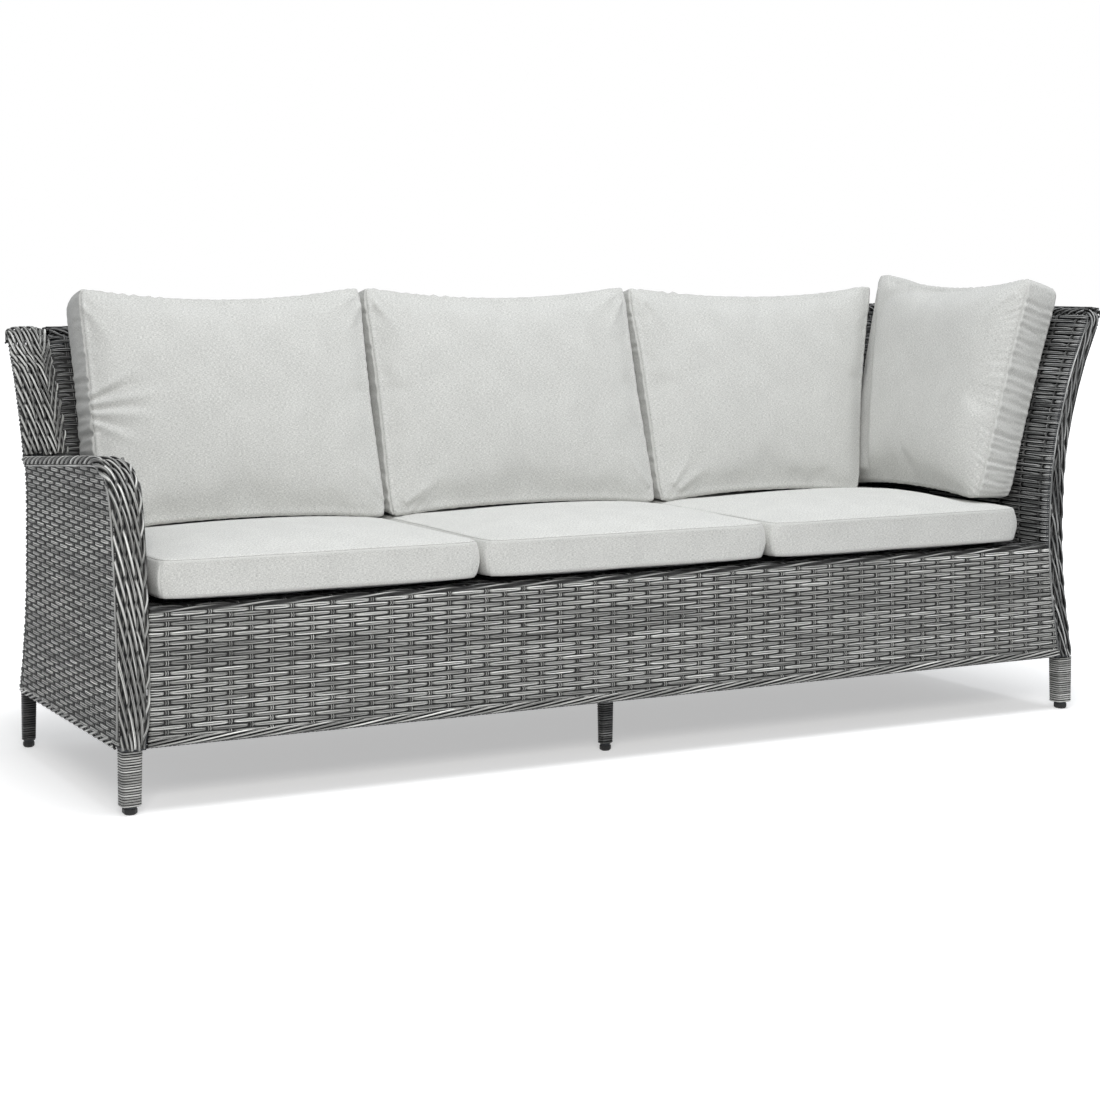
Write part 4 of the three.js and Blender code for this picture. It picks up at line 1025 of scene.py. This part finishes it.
    def press(self, resting):
        """Lowers the top where others lie on it, each (inner x, outer x, front y, height of its arch)."""
        mesh = self.object.data
        place = read_points(mesh.vertices, "co") + self.middle
        x, y, z = place.T
        limit = np.full(len(place), 1.0)
        for inner, outer, front, arch in resting:
            arch = arch * (1 - np.clip((2 * x - inner - outer) / (outer - inner), -1, 1) ** 2)
            clear = np.maximum(np.maximum(np.maximum(inner - x, x - outer), np.maximum(front - y, 0)), 0)
            limit = np.minimum(limit, SEAT_BACK_FLOOR - 0.0015 + arch + 9.0 * clear**2)
        ease = 0.003
        over = z - limit
        place[:, 2] = np.where(over > -ease, limit - ease * np.exp(-np.maximum(over + ease, 0) / ease), z)
        set_points(mesh, place - self.middle)

    def place(self, body, fill, neighbour=None):
        """Turns the cushion into its place on the sofa, flat against its neighbour, and adds its seam
        threads. The neighbour is (x of its side's foot, x of its head, how far back its foot lies)."""
        mesh = self.object.data
        world = (read_points(mesh.vertices, "co") + self.middle) @ self.axes
        if neighbour:
            foot_x, head_x, face_y = neighbour
            rise, ease = world[:, 2] - SEAT_BACK_FLOOR, 0.008
            share = np.clip(rise / (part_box("back_cushion_right")[1].z - SEAT_BACK_FLOOR), 0, 1.2)
            ahead = np.maximum(face_y + rise * math.tan(LEAN) - 0.010 - world[:, 1], 0)
            limit = foot_x + (head_x - foot_x) * share - ahead
            under = limit - world[:, 0]
            eased = limit + ease * np.exp(-np.maximum(under + ease, 0) / ease)
            world[:, 0] = np.where(under > -ease, eased, world[:, 0])
        set_points(mesh, world)
        mesh.polygons.foreach_set("use_smooth", np.ones(len(mesh.polygons), bool))
        mesh.materials.clear()
        # the seats take the cloth painted paler: painted light
        mesh.materials.append(SEAT_CLOTH if "seat" in self.node else CLOTH)
        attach(self.object, body)
        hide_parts(self.node)
        normals = read_points(mesh.vertex_normals, "vector")
        for seam, ring in self.rings.items():
            t = np.arange(3 * len(ring) + 1) / 3 % len(ring)
            here, part = t.astype(int), (t % 1)[:, None]
            after = (here + 1) % len(ring)
            points, outward = (
                values[ring[here]] * (1 - part) + values[ring[after]] * part for values in (world, normals)
            )
            outward = unit(outward)
            size = np.full((1, len(points)), 0.0008)
            thread = ((points + outward * 0.0002 - ORIGIN)[None], outward[None], size, size, 0 * size + 1)
            strand_object(f"{self.node}_seam_{seam}", [thread], THREAD, body=body)


LEAN = math.radians(17)
FLAT_AXES = ((1, 0, 0), (0, 1, 0), (0, 0, 1))
BACK_AXES = ((1, 0, 0), (0, math.sin(LEAN), math.cos(LEAN)), (0, -math.cos(LEAN), math.sin(LEAN)))
SIDE_AXES = ((0, -1, 0), (math.sin(LEAN), 0, math.cos(LEAN)), (-math.cos(LEAN), 0, math.sin(LEAN)))
BACK_FOOT, SEAT_BACK_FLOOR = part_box("back_cushion_middle")[0].yz
ARCH = 0.011
FOOT = 0.116 * math.tan(LEAN)
SLANT = 0.129  # how much narrower the right back cushion is at its foot, beside the corner cushion

seats, backs = {}, {}
for side in ("left", "middle", "right"):
    seats[side] = Cushion(
        "seat_cushion_" + side, FLAT_AXES, (52, 48), crown=0.028, under=0.010, pull=0.004, dip=0.004,
        corner=0.012, shortened=0.55, power=2.3, swell=0.024,
    )
    backs[side] = Cushion(
        "back_cushion_" + side, BACK_AXES, (48, 38), crown=0.027, under=0.004, pull=0.005, dip=0.021,
        corner=0.008, slant=SLANT if side == "right" else 0.0, foot=FOOT, arch=ARCH, proud=0.012,
    )
corner = Cushion(
    "corner_cushion", SIDE_AXES, (46, 42), crown=0.052, under=0.004, pull=0.006, dip=0.024, corner=0.012,
    power=5.0, foot=0.019, arch=ARCH, proud=0.022, flare=0.046,
)
leaning = [*backs.values(), corner]
for cushion in (*seats.values(), *leaning):
    cushion.prepare()
for moment in range(1, 21):
    bpy.context.scene.frame_set(moment)
for cushion in seats.values():
    cushion.settle(cap=0.007, fine=1)
for cushion in leaning:
    cushion.settle(cap=0.014, fine=2)
bpy.context.scene.frame_set(1)

# the seats lie lower, and domed, where the backs and the corner cushion rest on them
resting = []
for side, narrower in (("left", 0), ("middle", 0), ("right", SLANT)):
    low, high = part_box("back_cushion_" + side)
    resting.append((low.x, high.x - narrower, BACK_FOOT, ARCH - 0.001))
low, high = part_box("corner_cushion")
resting.append((low.x, 2.0, low.y, 0.0))
for side, seat in seats.items():
    seat.sew(pucker=0.0005, groove=0.0010)
    seat.press(resting)
    seat.place("seat_pad_" + side, 0.9)

# where the covers are drawn tight: a pinned gather half way up the left one with folds fanning out of it,
# creases in the lower corners, and a row of creases across the corner cushion's gusset
fan = [
    (-0.300, 0.020, -0.190, 0.075, 0.0075, 0.0050), (-0.300, 0.006, -0.150, 0.020, 0.0075, 0.0055),
    (-0.300, -0.010, -0.165, -0.030, 0.0075, 0.0050), (-0.300, -0.026, -0.200, -0.085, 0.0075, 0.0040),
    (-0.300, 0.013, -0.200, 0.046, 0.0055, -0.0040), (-0.300, -0.002, -0.180, -0.006, 0.0055, -0.0040),
    (-0.300, -0.018, -0.210, -0.055, 0.0055, -0.0035),
]
creases = [
    (-0.290, -0.205, -0.225, -0.120, 0.010, 0.0040), (-0.275, -0.215, -0.185, -0.160, 0.010, 0.0035),
    (0.290, -0.205, 0.230, -0.125, 0.010, 0.0035), (-0.290, 0.200, -0.235, 0.110, 0.010, 0.0040),
    (0.290, 0.200, 0.235, 0.120, 0.010, 0.0040), (0.270, 0.215, 0.190, 0.165, 0.010, 0.0030),
]
folds = {"left": fan + creases, "middle": creases[1:], "right": creases[:2] + creases[3:4]}
for side, back in backs.items():
    pinned = side == "left"
    pleats = [(where, -0.8, 0.95, 0.0030) for where in (0.868, 0.886, 0.900, 0.918, 0.938) if pinned]
    pleats += [(where, -0.2, 0.9, 0.0015) for where in (0.735, 0.77, 0.81, 0.845, 0.965)]
    gathers = [(0.895, 0.03, 2.2 if pinned else 0.5), (0.0, 0.03, 1.2), (0.72, 0.03, 1.2)]
    back.sew(0.0007, folds[side], gathers, pleats)
    back.place("back_pad_" + side, 0.8)
pleats = [
    (where + folds_chance.normal(0, 0.004), -0.85 + 0.5 * folds_chance.random(),
     0.4 + 0.5 * folds_chance.random(), 0.0010 + 0.0018 * folds_chance.random())
    for where in np.linspace(0.285, 0.475, 12)
]
creases = [
    (-0.235, -0.210, -0.130, -0.120, 0.011, 0.0050), (-0.230, -0.180, -0.150, -0.070, 0.011, 0.0040),
    (-0.180, -0.220, -0.070, -0.165, 0.011, 0.0040), (0.225, 0.200, 0.160, 0.120, 0.010, 0.0040),
]
corner.sew(0.0008, creases, [(0.0, 0.05, 1.4), (0.38, 0.10, 1.0)], pleats)
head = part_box("back_cushion_right")[1].x + 0.004
corner.place("corner_pad", 0.8, (head - SLANT, head, BACK_FOOT))

# The studio: a white floor that keeps the sofa's shadow, a white room, and soft light from the front left
# and above. The camera stands level, a little over the seat backs.
PHOTO_SIZE, HORIZON_ROW, FOCAL_PIXELS, SENSOR = 1100, 272, 2290, 36
CAMERA_BACK, CAMERA_HEIGHT = (1.204, 3.809), 0.93  # from the front left foot, and over the floor
low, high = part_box("glide_front_left")
foot = (low + high) / 2
camera = put_in("camera", bpy.data.cameras.new("camera"))
set_all(
    camera.data, lens=FOCAL_PIXELS / PHOTO_SIZE * SENSOR, sensor_width=SENSOR,
    shift_y=-(PHOTO_SIZE / 2 - HORIZON_ROW) / PHOTO_SIZE,
)
camera.location = (foot.x - CAMERA_BACK[0], foot.y - CAMERA_BACK[1], CAMERA_HEIGHT)
camera.rotation_euler = (math.radians(90), 0, math.radians(-27.94))
bpy.context.scene.camera = camera

FLOOR_REACH = 30
floor_mesh = bpy.data.meshes.new("floor")
corners = [(FLOOR_REACH * x, FLOOR_REACH * y, 0) for x, y in ((-1, -1), (1, -1), (1, 1), (-1, 1))]
floor_mesh.from_pydata(corners, [], [(0, 1, 2, 3)])
floor = put_in("floor", floor_mesh)
floor_material, tree, shader = new_material("floor_white")
tree.nodes.remove(shader)
# the light falls off away from the sofa, and the floor's own glow makes up for it there
vector = add(tree, "TexCoord").outputs["Object"]
vector = add(tree, "VectorMath", {0: vector}, operation="ABSOLUTE").outputs[0]
vector = add(tree, "VectorMath", {0: vector, 1: (0.95, 0.25, 0)}, operation="SUBTRACT").outputs[0]
vector = add(tree, "VectorMath", {0: vector, 1: (0, 0, 0)}, operation="MAXIMUM").outputs[0]
beyond = add(tree, "VectorMath", {0: vector}, operation="LENGTH").outputs["Value"]
ray = add(tree, "LightPath").outputs
seen = {0: ray["Is Camera Ray"], 1: ray["Is Glossy Ray"]}
seen = add(tree, "Math", seen, operation="MAXIMUM").outputs[0]
glow = {0: ramp(tree, beyond, (0.10, 0.46), (0.95, 1.0)), 1: seen}
glow = add(tree, "Math", glow, operation="MULTIPLY").outputs[0]
floor_parts = {
    0: add(tree, "BsdfDiffuse", {"Color": (0.8, 0.8, 0.8, 1)}).outputs[0],
    1: add(tree, "Emission", {"Strength": glow}).outputs[0],
}
fill_in(tree.nodes["Material Output"], {"Surface": add(tree, "AddShader", floor_parts).outputs[0]})
floor_mesh.materials.append(floor_material)

world = bpy.data.worlds.new("room")
bpy.context.scene.world = world
world.use_nodes = True
tree = world.node_tree
fill_in(tree.nodes["Background"], {"Color": (0.93, 0.96, 1.0, 1), "Strength": 0.34})
seen_room = {
    0: add(tree, "LightPath").outputs["Is Camera Ray"],
    1: tree.nodes["Background"].outputs[0],
    2: add(tree, "Background", {"Color": (1, 1, 1, 1)}).outputs[0],
}
fill_in(tree.nodes["World Output"], {"Surface": add(tree, "MixShader", seen_room).outputs[0]})


def area_light(name, place, target, size, watts, colour):
    light = put_in(name, bpy.data.lights.new(name, "AREA"))
    set_all(light.data, shape="RECTANGLE", size=size[0], size_y=size[1], energy=watts, color=colour)
    x, y, z = np.subtract(target, place)
    light.location = place
    light.rotation_euler = (math.atan2(math.hypot(x, y), -z), 0, math.atan2(y, x) - math.pi / 2)


area_light("key", (-2.4, -4.4, 2.8), (0, 0, 0.4), (1.6, 1.2), 100, (1.0, 0.98, 0.95))
area_light("top", (0.2, -1.0, 3.4), (0, 0, 0.4), (3.6, 1.4), 82, (0.97, 0.985, 1.0))
bpy.context.scene.view_settings.view_transform = "Standard"
